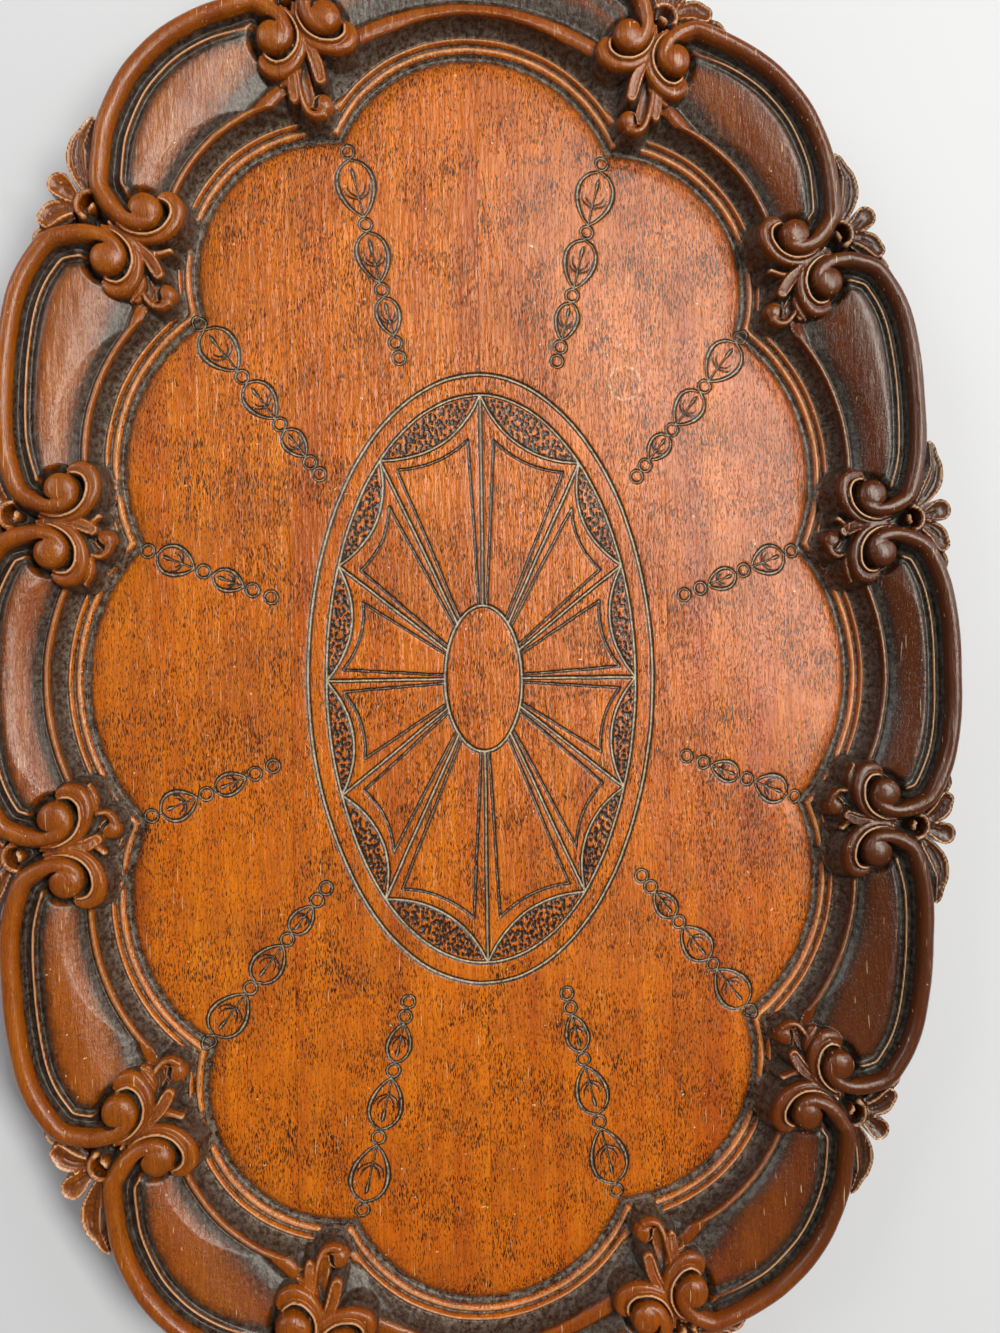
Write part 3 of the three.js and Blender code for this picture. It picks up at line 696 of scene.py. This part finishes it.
def makeGrid():  # which cells of each size are used, then height and outline at the half millimetre points
    ids = (np.arange(0, rowsUp + 1, 2)[:, None] * stride + np.arange(0, columns + 1, 2)).ravel()
    shape = (rowsUp // 2 + 1, columns // 2 + 1)
    height, outline = [values.reshape(shape) for values in relief(latticePoints(ids))[:2]]
    bend = np.zeros(shape)
    bend[:, 1:-1] = np.abs(height[:, :-2] - 2 * height[:, 1:-1] + height[:, 2:])
    bend[1:-1] = np.maximum(bend[1:-1], np.abs(height[:-2] - 2 * height[1:-1] + height[2:]))
    coarse, middle, fine = grid["tolerance"]
    atEdge = cornerMax(-np.abs(outline)) > -grid["edgeBand"]
    splitFine = (cornerMax(bend) > fine) & ~grown(atEdge)
    splitMiddle = blockAny(grown(splitFine) | atEdge) | (flatness(height, 2) > middle)
    splitCoarse = blockAny(grown(splitMiddle)) | (flatness(height, 4) > coarse)
    splitMiddle &= doubled(splitCoarse)
    splitFine &= doubled(splitMiddle)
    cells = {8: ~splitCoarse, 4: doubled(splitCoarse) & ~splitMiddle, 2: doubled(splitMiddle) & ~splitFine,
             1: doubled(splitFine)}
    return cells, height, outline


print("working out the carving")
cells, latticeHeight, latticeOutline = makeGrid()


def cellCorners(size, columnsFrom, columnsTo, keep):
    low, high = columnsFrom // size, columnsTo // size
    rowIndex, columnIndex = np.nonzero(cells[size][:, low:high] & keep(size)[:, low:high])
    return rowIndex * size * stride + (columnIndex + low) * size


def wholeInside(size):  # cells with every corner inside the outline
    step = max(size // 2, 1)
    inside = cornerMax(latticeOutline[::step, ::step]) < 0
    return doubled(inside) if size == 1 else inside


def onOutline(size):
    return (cornerMax(-latticeOutline) > 0) & ~wholeInside(size)


def ringIds(corner, size):
    up = size * stride
    return np.column_stack([corner, corner + size, corner + size + up, corner + up])


def ringWithMiddles(corner, size, used):  # the middle of a side is a corner too where a finer cell meets it
    ring = ringIds(corner, size)
    if size == 1:
        return ring
    middles = (ring + np.roll(ring, -1, axis=1)) // 2
    middles = np.where(used[middles], middles, -1)  # the rest are dropped
    return np.stack([ring, middles], axis=2).reshape(len(ring), 8)


def topSurface(columnsFrom, columnsTo):  # its points, and the polygons' corners in one list and their sizes
    corners = {size: cellCorners(size, columnsFrom, columnsTo, wholeInside) for size in grid["levels"]}
    edgeCells = cellCorners(2, columnsFrom, columnsTo, onOutline)
    firstExtra = stride * (rowsUp + 1)  # points on the outline are numbered from here
    used = np.zeros(firstExtra, bool)
    for size, corner in corners.items():
        used[ringIds(corner, size)] = True
    loops, sizes = [], []
    for size, corner in corners.items():
        ring = ringWithMiddles(corner, size, used)
        loops.append(ring[ring >= 0])
        sizes.append((ring >= 0).sum(1))
    crossings, extra = {}, []

    def awayAt(i):
        return latticeOutline[i // stride // 2, i % stride // 2]

    for ring in ringIds(edgeCells, 2).tolist():
        polygon = []
        for a, b in zip(ring, ring[1:] + ring[:1]):
            awayA, awayB = awayAt(a), awayAt(b)
            if awayA < 0:
                polygon.append(a)
            if (awayA < 0) != (awayB < 0):
                key = (min(a, b), max(a, b))
                if key not in crossings:
                    crossings[key] = firstExtra + len(extra)
                    share = min(max(awayA / (awayA - awayB), 0.08), 0.92)  # no slivers
                    ends = latticePoints(np.array([a, b]))
                    extra.append(ends[0] + (ends[1] - ends[0]) * share)
                polygon.append(crossings[key])
        loops.append(np.array(polygon))
        sizes.append(np.array([len(polygon)]))
    loops, sizes = np.concatenate(loops), np.concatenate(sizes)
    ids, loops = np.unique(loops, return_inverse=True)
    plain = ids < firstExtra
    points = np.empty((len(ids), 2))
    points[plain] = latticePoints(ids[plain])
    points[~plain] = np.array(extra)[ids[~plain] - firstExtra]
    return points, loops, sizes


def boundaryEdges(loops, sizes):
    starts = np.cumsum(sizes) - sizes
    following = np.arange(1, len(loops) + 1)
    following[starts + sizes - 1] = starts
    a, b = loops, loops[following]
    count = loops.max() + 1
    alone = ~np.isin(a * count + b, b * count + a)
    return np.column_stack([a[alone], b[alone]])


underside = {
    "footSetIn": 6,
    "edge": 5.5,
    "edgeRounding": 4.2,
    "rounding": 3,
    "ledge": (0.3, 2.5),  # beyond the scrolls' path it rises at this slope up to this height
    "search": 60,
    "points": [(1.5, -5.5, -0.9), (6, -99, -5.5)],  # spacing, and between which distances from the outline
    "clearOfSeams": 0.4,
}


def undersideHeight(points, outline):  # counted from the field too
    plan = np.abs(points)
    share = np.hypot(*(plan / (cuspEllipse - underside["footSetIn"])).T)
    fromFoot = np.hypot(*plan.T) * (1 - 1 / np.maximum(share, 1))
    toEdge = np.full(len(plan), float(underside["search"]))
    for lobe in lobes:
        bringNearer(toEdge, plan, lobe["edge"], underside["search"])
    outside = ~insideLoop(plan, edgeLoop)
    rise = np.where(outside, 1, fromFoot / (fromFoot + toEdge + 1e-9))
    slope, highest = underside["ledge"]
    lift = np.where(outside, np.minimum(toEdge * slope, highest), 0)
    rounding = underside["edgeRounding"] * smooth(outline, -underside["rounding"], 0)
    sloping = (floorThickness + underside["edge"]) * rise
    return -floorThickness + sloping + np.maximum(lift, rounding) * (share > 1)


def bottomSurface(points, edges, xLow, xHigh):  # triangles over the same outline, seen from above
    edgePoints, edgeIndex = np.unique(edges, return_inverse=True)
    edgeIndex = edgeIndex.reshape(edges.shape)
    clear = underside["clearOfSeams"]
    inner = []
    for step, low, high in underside["points"]:
        x = np.arange(math.ceil(xLow / step) * step, xHigh, step)
        y = np.arange(-grid["halfLength"], grid["halfLength"] + 1, step)
        candidates = np.stack(np.meshgrid(x, y), -1).reshape(-1, 2)
        candidates = candidates[(candidates[:, 0] > xLow + clear) & (candidates[:, 0] < xHigh - clear)]
        outline = relief(candidates)[1]
        inner.append(candidates[(outline > low) & (outline < high)])
    flat = np.vstack([points[edgePoints]] + inner)
    made = geometry.delaunay_2d_cdt([Vector(p) for p in flat.tolist()], edgeIndex.tolist(), [], 1, 1e-5)
    index = np.array([ids[0] for ids in made[3]])
    return edgePoints, flat, index[np.array(made[2])]


def blur(values, radius):  # three box blurs, in lattice steps
    for _ in range(3):
        for axis in (0, 1):
            width = [(radius + 1, radius) if k == axis else (0, 0) for k in (0, 1)]
            total = np.cumsum(np.pad(values, width, "edge"), axis=axis)
            first = np.arange(values.shape[axis])
            size = 2 * radius + 1
            values = (np.take(total, first + size, axis) - np.take(total, first, axis)) / size
    return values


def sample(values, points):  # between the half millimetre points
    x = np.clip((points[:, 0] + grid["halfWidth"]) * 2, 0, values.shape[1] - 1.001)
    y = np.clip((points[:, 1] + grid["halfLength"]) * 2, 0, values.shape[0] - 1.001)
    i, j = x.astype(int), y.astype(int)
    u, v = x - i, y - j
    low, high = [values[row, i] * (1 - u) + values[row, i + 1] * u for row in (j, j + 1)]
    return low * (1 - v) + high * v


def bulge(height, spacing=0.5):  # how sharply the surface bends outwards, which it does on arrises
    slopes = np.gradient(height, spacing)
    length = np.sqrt(1 + slopes[0] ** 2 + slopes[1] ** 2)
    return -sum(np.gradient(slopes[axis] / length, spacing, axis=axis) for axis in (0, 1))


# hollow darkens the colour where the carving is sunk below its surroundings: grime and painted shade
beyondRim = 12
shaped = np.where(latticeOutline < 0, latticeHeight, np.minimum(latticeHeight, beyondRim))
hollow = blur(shaped, 3) - shaped  # deep where the carving is sunk below what lies round it
# crisp lightens the arrises: bare worn wood and painted highlight
crisp = bulge(shaped)


def putInScene(name, data):
    thing = bpy.data.objects.new(name, data)
    bpy.context.scene.collection.objects.link(thing)
    return thing


def makeBoard(node, name):
    low, high = [corner[0] * 1000 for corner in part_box(node)]
    outer = grid["halfWidth"]
    seams = [max(round(low / 10) * 10, -outer), min(round(high / 10) * 10, outer)]
    points, loops, sizes = topSurface(*[int((x + outer) / grid["step"]) for x in seams])
    height, _, cut, grime = relief(points)
    looks = {"cut": cut, "grime": grime, "hollow": sample(hollow, points), "crisp": sample(crisp, points)}
    edges = boundaryEdges(loops, sizes)
    edgePoints, flat, triangles = bottomSurface(points, edges, *seams)
    lower = undersideHeight(flat, relief(flat)[1])
    left, right = low if seams[0] > -outer else -math.inf, high if seams[1] < outer else math.inf
    for surface in (points, flat):
        surface[:, 0] = np.clip(surface[:, 0], left, right)
    below = np.full(len(points), -1)
    below[edgePoints] = len(points) + np.arange(len(edgePoints))
    walls = np.column_stack([edges[:, 1], edges[:, 0], below[edges[:, 0]], below[edges[:, 1]]])
    vertices = np.vstack([np.column_stack([points, height]), np.column_stack([flat, lower])])
    vertices = (vertices + (0, 0, floorThickness)) / 1000
    allLoops = np.concatenate([loops, walls.ravel(), (triangles[:, ::-1] + len(points)).ravel()])
    allSizes = np.concatenate([sizes, np.full(len(walls), 4), np.full(len(triangles), 3)])
    mesh = bpy.data.meshes.new(name)
    mesh.vertices.add(len(vertices))
    mesh.vertices.foreach_set("co", vertices.ravel())
    mesh.loops.add(len(allLoops))
    mesh.loops.foreach_set("vertex_index", allLoops.astype(np.int32))
    mesh.polygons.add(len(allSizes))
    mesh.polygons.foreach_set("loop_start", (np.cumsum(allSizes) - allSizes).astype(np.int32))
    mesh.update(calc_edges=True)
    mesh.polygons.foreach_set("use_smooth", np.ones(len(allSizes), bool))
    markSharpRims(mesh, edges, below)
    for label, values in looks.items():
        values = np.concatenate([values, np.zeros(len(flat))])
        mesh.attributes.new(label, "FLOAT", "POINT").data.foreach_set("value", values.astype(np.float32))
    addBakeMap(mesh, vertices, sizes, walls)
    board = putInScene(name, mesh)
    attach(board, "root")
    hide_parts(node)
    print("carved", name, len(allSizes), "faces")
    return board


def markSharpRims(mesh, edges, below):  # where a side wall meets the carved face and the underside
    ends = np.empty(len(mesh.edges) * 2, np.int32)
    mesh.edges.foreach_get("vertices", ends)
    pairs = ends.reshape(-1, 2).astype(np.int64), np.vstack([edges, below[edges]])
    keys = [pair.min(1) * len(mesh.vertices) + pair.max(1) for pair in pairs]
    mesh.edges.foreach_set("use_edge_sharp", np.isin(*keys))


bakeMap = {"size": (0.46, 0.96), "corner": (0.01, 0.02), "underside": (0.48, 0), "walls": (0.97, 0.99)}


def addBakeMap(mesh, vertices, sizes, walls):  # carved face on the left, then the underside and the walls
    layer = mesh.uv_layers.new(name="OFBake")
    loops = np.empty(len(mesh.loops), np.int32)
    mesh.loops.foreach_get("vertex_index", loops)
    low, high = vertices[:, :2].min(0), vertices[:, :2].max(0)
    uv = (vertices[loops, :2] - low) / (high - low) * bakeMap["size"] + bakeMap["corner"]
    wallsFrom, wallsTo = sizes.sum(), sizes.sum() + len(walls) * 4
    uv[wallsTo:] += bakeMap["underside"]
    turn = np.arange(len(walls)) / len(walls)
    nextTurn = turn + 1 / len(walls)
    left, right = [np.full(len(walls), x) for x in bakeMap["walls"]]
    strip = np.column_stack([left, turn, left, nextTurn, right, nextTurn, right, turn])
    uv[wallsFrom:wallsTo] = strip.reshape(-1, 2)
    layer.data.foreach_set("uv", uv.ravel().astype(np.float32))


boards = {node: makeBoard(node, node.replace("board_", "") + "_board") for node in (
    "board_left_outer", "board_left_middle", "board_right_middle", "board_right_outer")}


def colour(code):  # sRGB hex to linear
    parts = [int(code[i:i + 2], 16) / 255 for i in (1, 3, 5)]
    return [p / 12.92 if p <= 0.04045 else ((p + 0.055) / 1.055) ** 2.4 for p in parts] + [1]


def addNode(tree, kind, inputs, output=0, **settings):  # a mix has its share at 0 and its colours at 6 and 7
    node = tree.nodes.new("ShaderNode" + kind)
    for name, value in settings.items():
        setattr(node, name, value)
    for socket, value in inputs.items():
        if isinstance(value, bpy.types.NodeSocket):
            tree.links.new(value, node.inputs[socket])
        else:
            node.inputs[socket].default_value = value
    return node.outputs[output] if node.outputs else node


# Mahogany carved by hand, stained, waxed and worn: glowing red brown on the rounds, short dark pores along the
# grain, old wax, dust and painted shade near black in the hollows, grey dust there lightened as painted sheen,
# and bare paler wood with painted highlight on the arrises
waxedMahogany = {
    # rim: the rim's darker stain and, by the share that grows towards the right, painted shade
    "light": "#e07c08", "middle": "#be5a04", "dark": "#6e2e03", "rim": "#3e1801",
    # grime: grime and painted shade; dust: grey dust lightened as painted sheen; arrises: bare wood and
    # painted highlight
    "pores": "#1e0d04", "grime": "#110c09", "dust": "#878278", "arrises": "#e2b488", "cutGrime": "#cdbd9e",
    "nicks": "#e6cda8",
    # sizes in millimetres, all round or across the grain, along it and down
    "figure": (9, 150, 10), "stain": 34, "fibre": (0.6, 9, 0.6), "poresGather": 20,
    "poreSizes": [(0.46, 3.4, 0.46), (0.36, 1.9, 0.36)], "scratches": (0.5, 11, 1), "waves": (1.8, 14, 1.8),
    "ringMark": (55, 110.5, 6.2),  # pale ring that a glass left: place and radius
    "roughness": 0.27, "handledRoughness": 0.2, "grimeRoughness": 0.3, "ior": 1.45,
    "coat": 0.14, "coatRoughness": 0.15, "bump": (0.85, 0.0007),  # strength, and height in metres
    # where each look starts and is full, and its shares there
    "ranges": {
        "figure": (0.32, 0.68), "stain": (0.44, 0.7, 0, 0.32), "fibre": (0.4, 0.7, 0, 0.45),
        "raised": (11.5, 15), "rightwards": (60, 140, 0.52, 0.93),  # in millimetres
        "poreReach": (0.34, 0.68, 0.16, 0.42), "poreEdge": (-0.05, 0.08), "poresOnRim": (0, 1, 1, 0.34),
        "worn": (1.1, 2, 0, 0.65), "rubbed": (-0.3, -1, 0, 0.6), "scratches": (0.8, 0.84, 0, 0.5),
        "nicks": (0.765, 0.79, 0, 0.8), "ring": (0.42, 0.62, 0, 0.5), "hollow": (0.4, 2),
        "grime": (0.62, 1.1), "dusty": (0.42, 0.66), "dustOnRim": (0, 1, 1, 0.4),
        "inCut": (0.01, 0.1, 0, 0.95), "filled": (0.6, 0.84),
        "cloudy": (0.35, 0.65, -0.04, 0.05), "wavesOnRim": (0, 1, 1, 0.45),
    },
}


def makeWood(name, shift, shadeTint):
    material = bpy.data.materials.new(name)
    material.use_nodes = True
    material.node_tree.nodes.clear()
    add = functools.partial(addNode, material.node_tree)
    wood = waxedMahogany

    def limits(name):
        return dict(zip(("From Min", "From Max", "To Min", "To Max"), wood["ranges"][name]))

    def per(sizes):
        return tuple(1 / size for size in sizes)

    place = add("TexCoord", {}, "Object")
    place = add("VectorMath", {0: place, 1: (1000, 1000, 1000)}, operation="MULTIPLY")  # in millimetres
    log = add("VectorMath", {0: place, 1: shift}, operation="ADD")
    cut, grime, hollow, crisp = [
        add("Attribute", {}, "Fac", attribute_name=label) for label in ("cut", "grime", "hollow", "crisp")]
    ragged = add("TexNoise", {"Vector": place, "Scale": 0.7, "Detail": 5, "Roughness": 0.7})
    halfRagged = add("Math", {0: ragged, 1: 0.5}, operation="MULTIPLY")

    # The board: bands of figure along it, cloudy stain and fine fibre
    way = add("Mapping", {"Vector": log, "Scale": per(wood["figure"])})
    figure = add("TexNoise", {"Vector": way, "Scale": 1, "Detail": 4, "Roughness": 0.6})
    figure = add("MapRange", {"Value": figure, **limits("figure")})
    cloudy = add("TexNoise", {"Vector": log, "Scale": 1 / wood["stain"], "Detail": 4, "Roughness": 0.6})
    stain = add("MapRange", {"Value": cloudy, **limits("stain")})
    way = add("Mapping", {"Vector": log, "Scale": per(wood["fibre"])})
    fibre = add("TexNoise", {"Vector": way, "Scale": 1, "Detail": 3, "Roughness": 0.6})
    fibre = add("MapRange", {"Value": fibre, **limits("fibre")})

    # The rim took the stain darker than the field; it darkens further towards the right-hand side, which is
    # painted shade
    x, height = [add("SeparateXYZ", {0: place}, axis) for axis in (0, 2)]
    raised = add("MapRange", {"Value": height, **limits("raised")})
    rimToneAndShade = add("MapRange", {"Value": x, **limits("rightwards")})
    rimToneAndShade = add("Math", {0: raised, 1: rimToneAndShade}, operation="MULTIPLY")

    # Pores: dashes along the grain, thick where the stain has gathered in them, filled with wax on the rim
    reach = add("TexNoise", {"Vector": log, "Scale": 1 / wood["poresGather"], "Detail": 6, "Roughness": 0.7})
    reach = add("MapRange", {"Value": reach, **limits("poreReach")})
    pores = 0
    for sizes in wood["poreSizes"]:
        way = add("Mapping", {"Vector": log, "Scale": per(sizes)})
        dashes = add("TexVoronoi", {"Vector": way, "Scale": 1}, "Distance")
        dashes = add("Math", {0: reach, 1: dashes}, operation="SUBTRACT")
        dashes = add("MapRange", {"Value": dashes, **limits("poreEdge")})
        pores = add("Math", {0: dashes, 1: pores}, operation="MAXIMUM")
    unfilled = add("MapRange", {"Value": raised, **limits("poresOnRim")})
    pores = add("Math", {0: pores, 1: unfilled}, operation="MULTIPLY")
    poreShare = add("Math", {0: pores, 1: 0.96}, operation="MULTIPLY")

    # Wear and painted highlight: bare wood and painted highlight along the arrises, small nicks and scratches,
    # and the ring
    crisp = add("Math", {0: crisp, 1: halfRagged}, operation="ADD")
    worn = add("MapRange", {"Value": crisp, **limits("worn")})
    rubbed = add("Math", {0: ragged, 1: -0.6}, operation="ADD")
    rubbed = add("Math", {0: grime, 1: rubbed}, operation="ADD")
    rubbed = add("MapRange", {"Value": rubbed, **limits("rubbed")})
    worn = add("Math", {0: worn, 1: rubbed}, operation="MAXIMUM")
    way = add("Mapping", {"Vector": place, "Rotation": (0, 0, 0.6), "Scale": per(wood["scratches"])})
    marks = add("TexNoise", {"Vector": way, "Scale": 1, "Detail": 0})
    marks = add("MapRange", {"Value": marks, **limits("scratches")})
    nicks = add("TexNoise", {"Vector": place, "Scale": 0.55, "Detail": 2, "Roughness": 0.4})
    nicks = add("MapRange", {"Value": nicks, **limits("nicks")})
    marks = add("Math", {0: marks, 1: nicks}, operation="MAXIMUM")
    *middle, radius = wood["ringMark"]
    ring = add("VectorMath", {0: place, 1: (*middle, floorThickness)}, "Value", operation="DISTANCE")
    ring = add("Math", {0: ring, 1: radius, 2: 0.55}, operation="COMPARE")
    ringShare = add("MapRange", {"Value": ragged, **limits("ring")})
    ring = add("Math", {0: ring, 1: ringShare}, operation="MULTIPLY")
    marks = add("Math", {0: marks, 1: ring}, operation="MAXIMUM")

    # Grime and painted shade: black brown where they start, greyer with dust and painted sheen where they lie
    # thick, less of the grey high on the rim
    hollow = add("MapRange", {"Value": hollow, **limits("hollow")})
    grime = add("Math", {0: grime, 1: hollow}, operation="MAXIMUM")
    grime = add("Math", {0: grime, 1: ragged}, operation="ADD")
    grime = add("Math", {0: grime, 1: worn}, operation="SUBTRACT")
    grime = add("MapRange", {"Value": grime, **limits("grime")})
    grimeAndShadeShare = add("Math", {0: grime, 1: 0.93}, operation="MULTIPLY")
    # grey dust in the hollows, its grey lightened so that it also paints the waxy sheen there: painted sheen
    dusty = add("TexNoise", {"Vector": place, "Scale": 0.5, "Detail": 6, "Roughness": 0.75})
    dusty = add("Math", {0: dusty, 1: grime}, operation="MULTIPLY")
    dusty = add("MapRange", {"Value": dusty, **limits("dusty")})
    thinnerHighUp = add("MapRange", {"Value": raised, **limits("dustOnRim")})
    dusty = add("Math", {0: dusty, 1: thinnerHighUp}, operation="MULTIPLY")

    # Cut lines: pale wax and dust in the bottom, nearly black along their edges
    inCut = add("MapRange", {"Value": cut, **limits("inCut")})
    filled = add("Math", {0: cut, 1: halfRagged}, operation="ADD")
    filled = add("MapRange", {"Value": filled, **limits("filled")})

    # All of these lie over each other, and the tint of painted shade goes in before the rim
    names = ("light", "middle", "dark", "rim", "pores", "grime", "dust", "arrises", "cutGrime", "nicks")
    colours = {name: colour(wood[name]) for name in names}
    mix = functools.partial(add, "Mix", output=2, data_type="RGBA")
    dirtShadeAndSheen = mix({0: dusty, 6: colours["grime"], 7: colours["dust"]})
    cutColour = mix({0: filled, 6: colours["grime"], 7: colours["cutGrime"]})
    base = colours["middle"]
    for share, over in ((figure, colours["light"]), (stain, colours["dark"]), (fibre, colours["dark"])):
        base = mix({0: share, 6: base, 7: over})
    # the board's tint: painted shade, darker on the right-hand boards
    base = mix({0: 1, 6: base, 7: colour(shadeTint)}, blend_type="MULTIPLY")
    # laid over the wood: the rim's tone with painted shade to the right, pores, pale arrises with painted
    # highlight, marks, grime with painted shade, and cut lines
    for share, over in ((rimToneAndShade, colours["rim"]), (poreShare, colours["pores"]), (worn, colours["arrises"]),
                        (marks, colours["nicks"]), (grimeAndShadeShare, dirtShadeAndSheen), (inCut, cutColour)):
        base = mix({0: share, 6: base, 7: over})

    # Gloss, and the fine relief of pores and tool marks
    dull = add("Math", {0: grime, 1: inCut}, operation="MAXIMUM")
    waxed = {"To Min": wood["roughness"], "To Max": wood["handledRoughness"]}
    waxed = add("MapRange", {"Value": raised, **waxed})
    roughness = add("MapRange", {"Value": dull, "To Min": waxed, "To Max": wood["grimeRoughness"]})
    cloudyShare = add("MapRange", {"Value": cloudy, **limits("cloudy")})
    roughness = add("Math", {0: roughness, 1: cloudyShare}, operation="ADD")
    way = add("Mapping", {"Vector": log, "Scale": per(wood["waves"])})
    surface = add("TexNoise", {"Vector": way, "Scale": 1, "Detail": 3})
    wavesShare = add("MapRange", {"Value": raised, **limits("wavesOnRim")})
    surface = add("Math", {0: surface, 1: wavesShare}, operation="MULTIPLY")
    for part, depth in ((pores, -0.25), (ragged, 0.25)):
        part = add("Math", {0: part, 1: depth}, operation="MULTIPLY")
        surface = add("Math", {0: surface, 1: part}, operation="ADD")
    normal = add("Bump", {"Strength": wood["bump"][0], "Distance": wood["bump"][1], "Height": surface})
    shader = add("BsdfPrincipled", {
        "Base Color": base, "Roughness": roughness, "Normal": normal, "IOR": wood["ior"],
        "Coat Weight": wood["coat"], "Coat Roughness": wood["coatRoughness"],
    })
    add("OutputMaterial", {"Surface": shader})
    return material


# Each board is cut from another part of the log, so its figure differs a little; the tints darken the boards
# towards the right-hand side, which is painted shade
boardLooks = {
    "board_left_outer": ((0, 0, 0), "#ffffff"), "board_left_middle": ((210, 480, 33), "#fffcfa"),
    "board_right_middle": ((530, 160, 71), "#fbf6f2"), "board_right_outer": ((820, 900, 15), "#f6ece4"),
}
for node, board in boards.items():
    shift, shadeTint = boardLooks[node]
    board.data.materials.append(makeWood("waxedMahogany_" + node.replace("board_", ""), shift, shadeTint))


def makePlain(name, code, roughness):
    material = bpy.data.materials.new(name)
    material.use_nodes = True
    shader = material.node_tree.nodes["Principled BSDF"]
    shader.inputs["Base Color"].default_value = colour(code)
    shader.inputs["Roughness"].default_value = roughness
    return material


# Beech dowels, turned and left bare: pale, dull and even
turnedBeech = makePlain("turnedBeech", "#b98b57", 0.7)
for node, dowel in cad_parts.items():
    if node.startswith("dowel"):
        dowel.data.materials.clear()
        dowel.data.materials.append(turnedBeech)
print("made the woods")

# Table, light and camera
setting = {
    "tableSize": 8, "table": "#d0d3dc", "world": "#fff8ee", "worldStrength": 0.18,
    "window": {"place": (1.9, 0.75, 1.1), "size": (1.1, 1.3), "power": 11, "colour": "#fffbf4"},
    "skylight": {"place": (0.72, 0.4, 1.5), "size": (1.5, 0.48), "power": 31, "colour": "#fffcf0"},
    "lantern": {"place": (-1.7, 0.9, 1.2), "size": (1.2, 0.8), "power": 12, "colour": "#ffffff"},
}
# in millimetres and degrees
cameraView = {"place": (-37.9, 3.9, 378.1), "turn": (0.17, -6.81, -0.83), "lens": 36 * 1000 / 1333}


def makeTable():
    side = setting["tableSize"] / 2
    corners = [(-side, -side, 0), (side, -side, 0), (side, side, 0), (-side, side, 0)]
    mesh = bpy.data.meshes.new("table")
    mesh.from_pydata(corners, [], [(0, 1, 2, 3)])
    # White paint, rolled on and matt: plain and dull, so that only the shadow shows on it
    mesh.materials.append(makePlain("mattWhitePaint", setting["table"], 0.8))
    putInScene("table", mesh)


def makeLamp(name):
    values = setting[name]
    lamp = bpy.data.lights.new(name, "AREA")
    lamp.shape = "RECTANGLE"
    lamp.size, lamp.size_y = values["size"]
    lamp.energy = values["power"]
    lamp.color = colour(values["colour"])[:3]
    holder = putInScene(name, lamp)
    holder.location = values["place"]
    holder.rotation_euler = (-Vector(values["place"])).to_track_quat("-Z", "Y").to_euler()


makeTable()
for name in ("window", "skylight", "lantern"):
    makeLamp(name)
world = bpy.data.worlds.new("room")
world.use_nodes = True
world.node_tree.nodes["Background"].inputs["Color"].default_value = colour(setting["world"])
world.node_tree.nodes["Background"].inputs["Strength"].default_value = setting["worldStrength"]
bpy.context.scene.world = world

camera = putInScene("camera", bpy.data.cameras.new("camera"))
camera.data.lens = cameraView["lens"]
camera.data.clip_start = 0.01
camera.location = Vector(cameraView["place"]) / 1000
camera.rotation_euler = [math.radians(angle) for angle in cameraView["turn"]]
bpy.context.scene.camera = camera
bpy.context.scene.view_settings.view_transform = "Standard"
print("set the table")
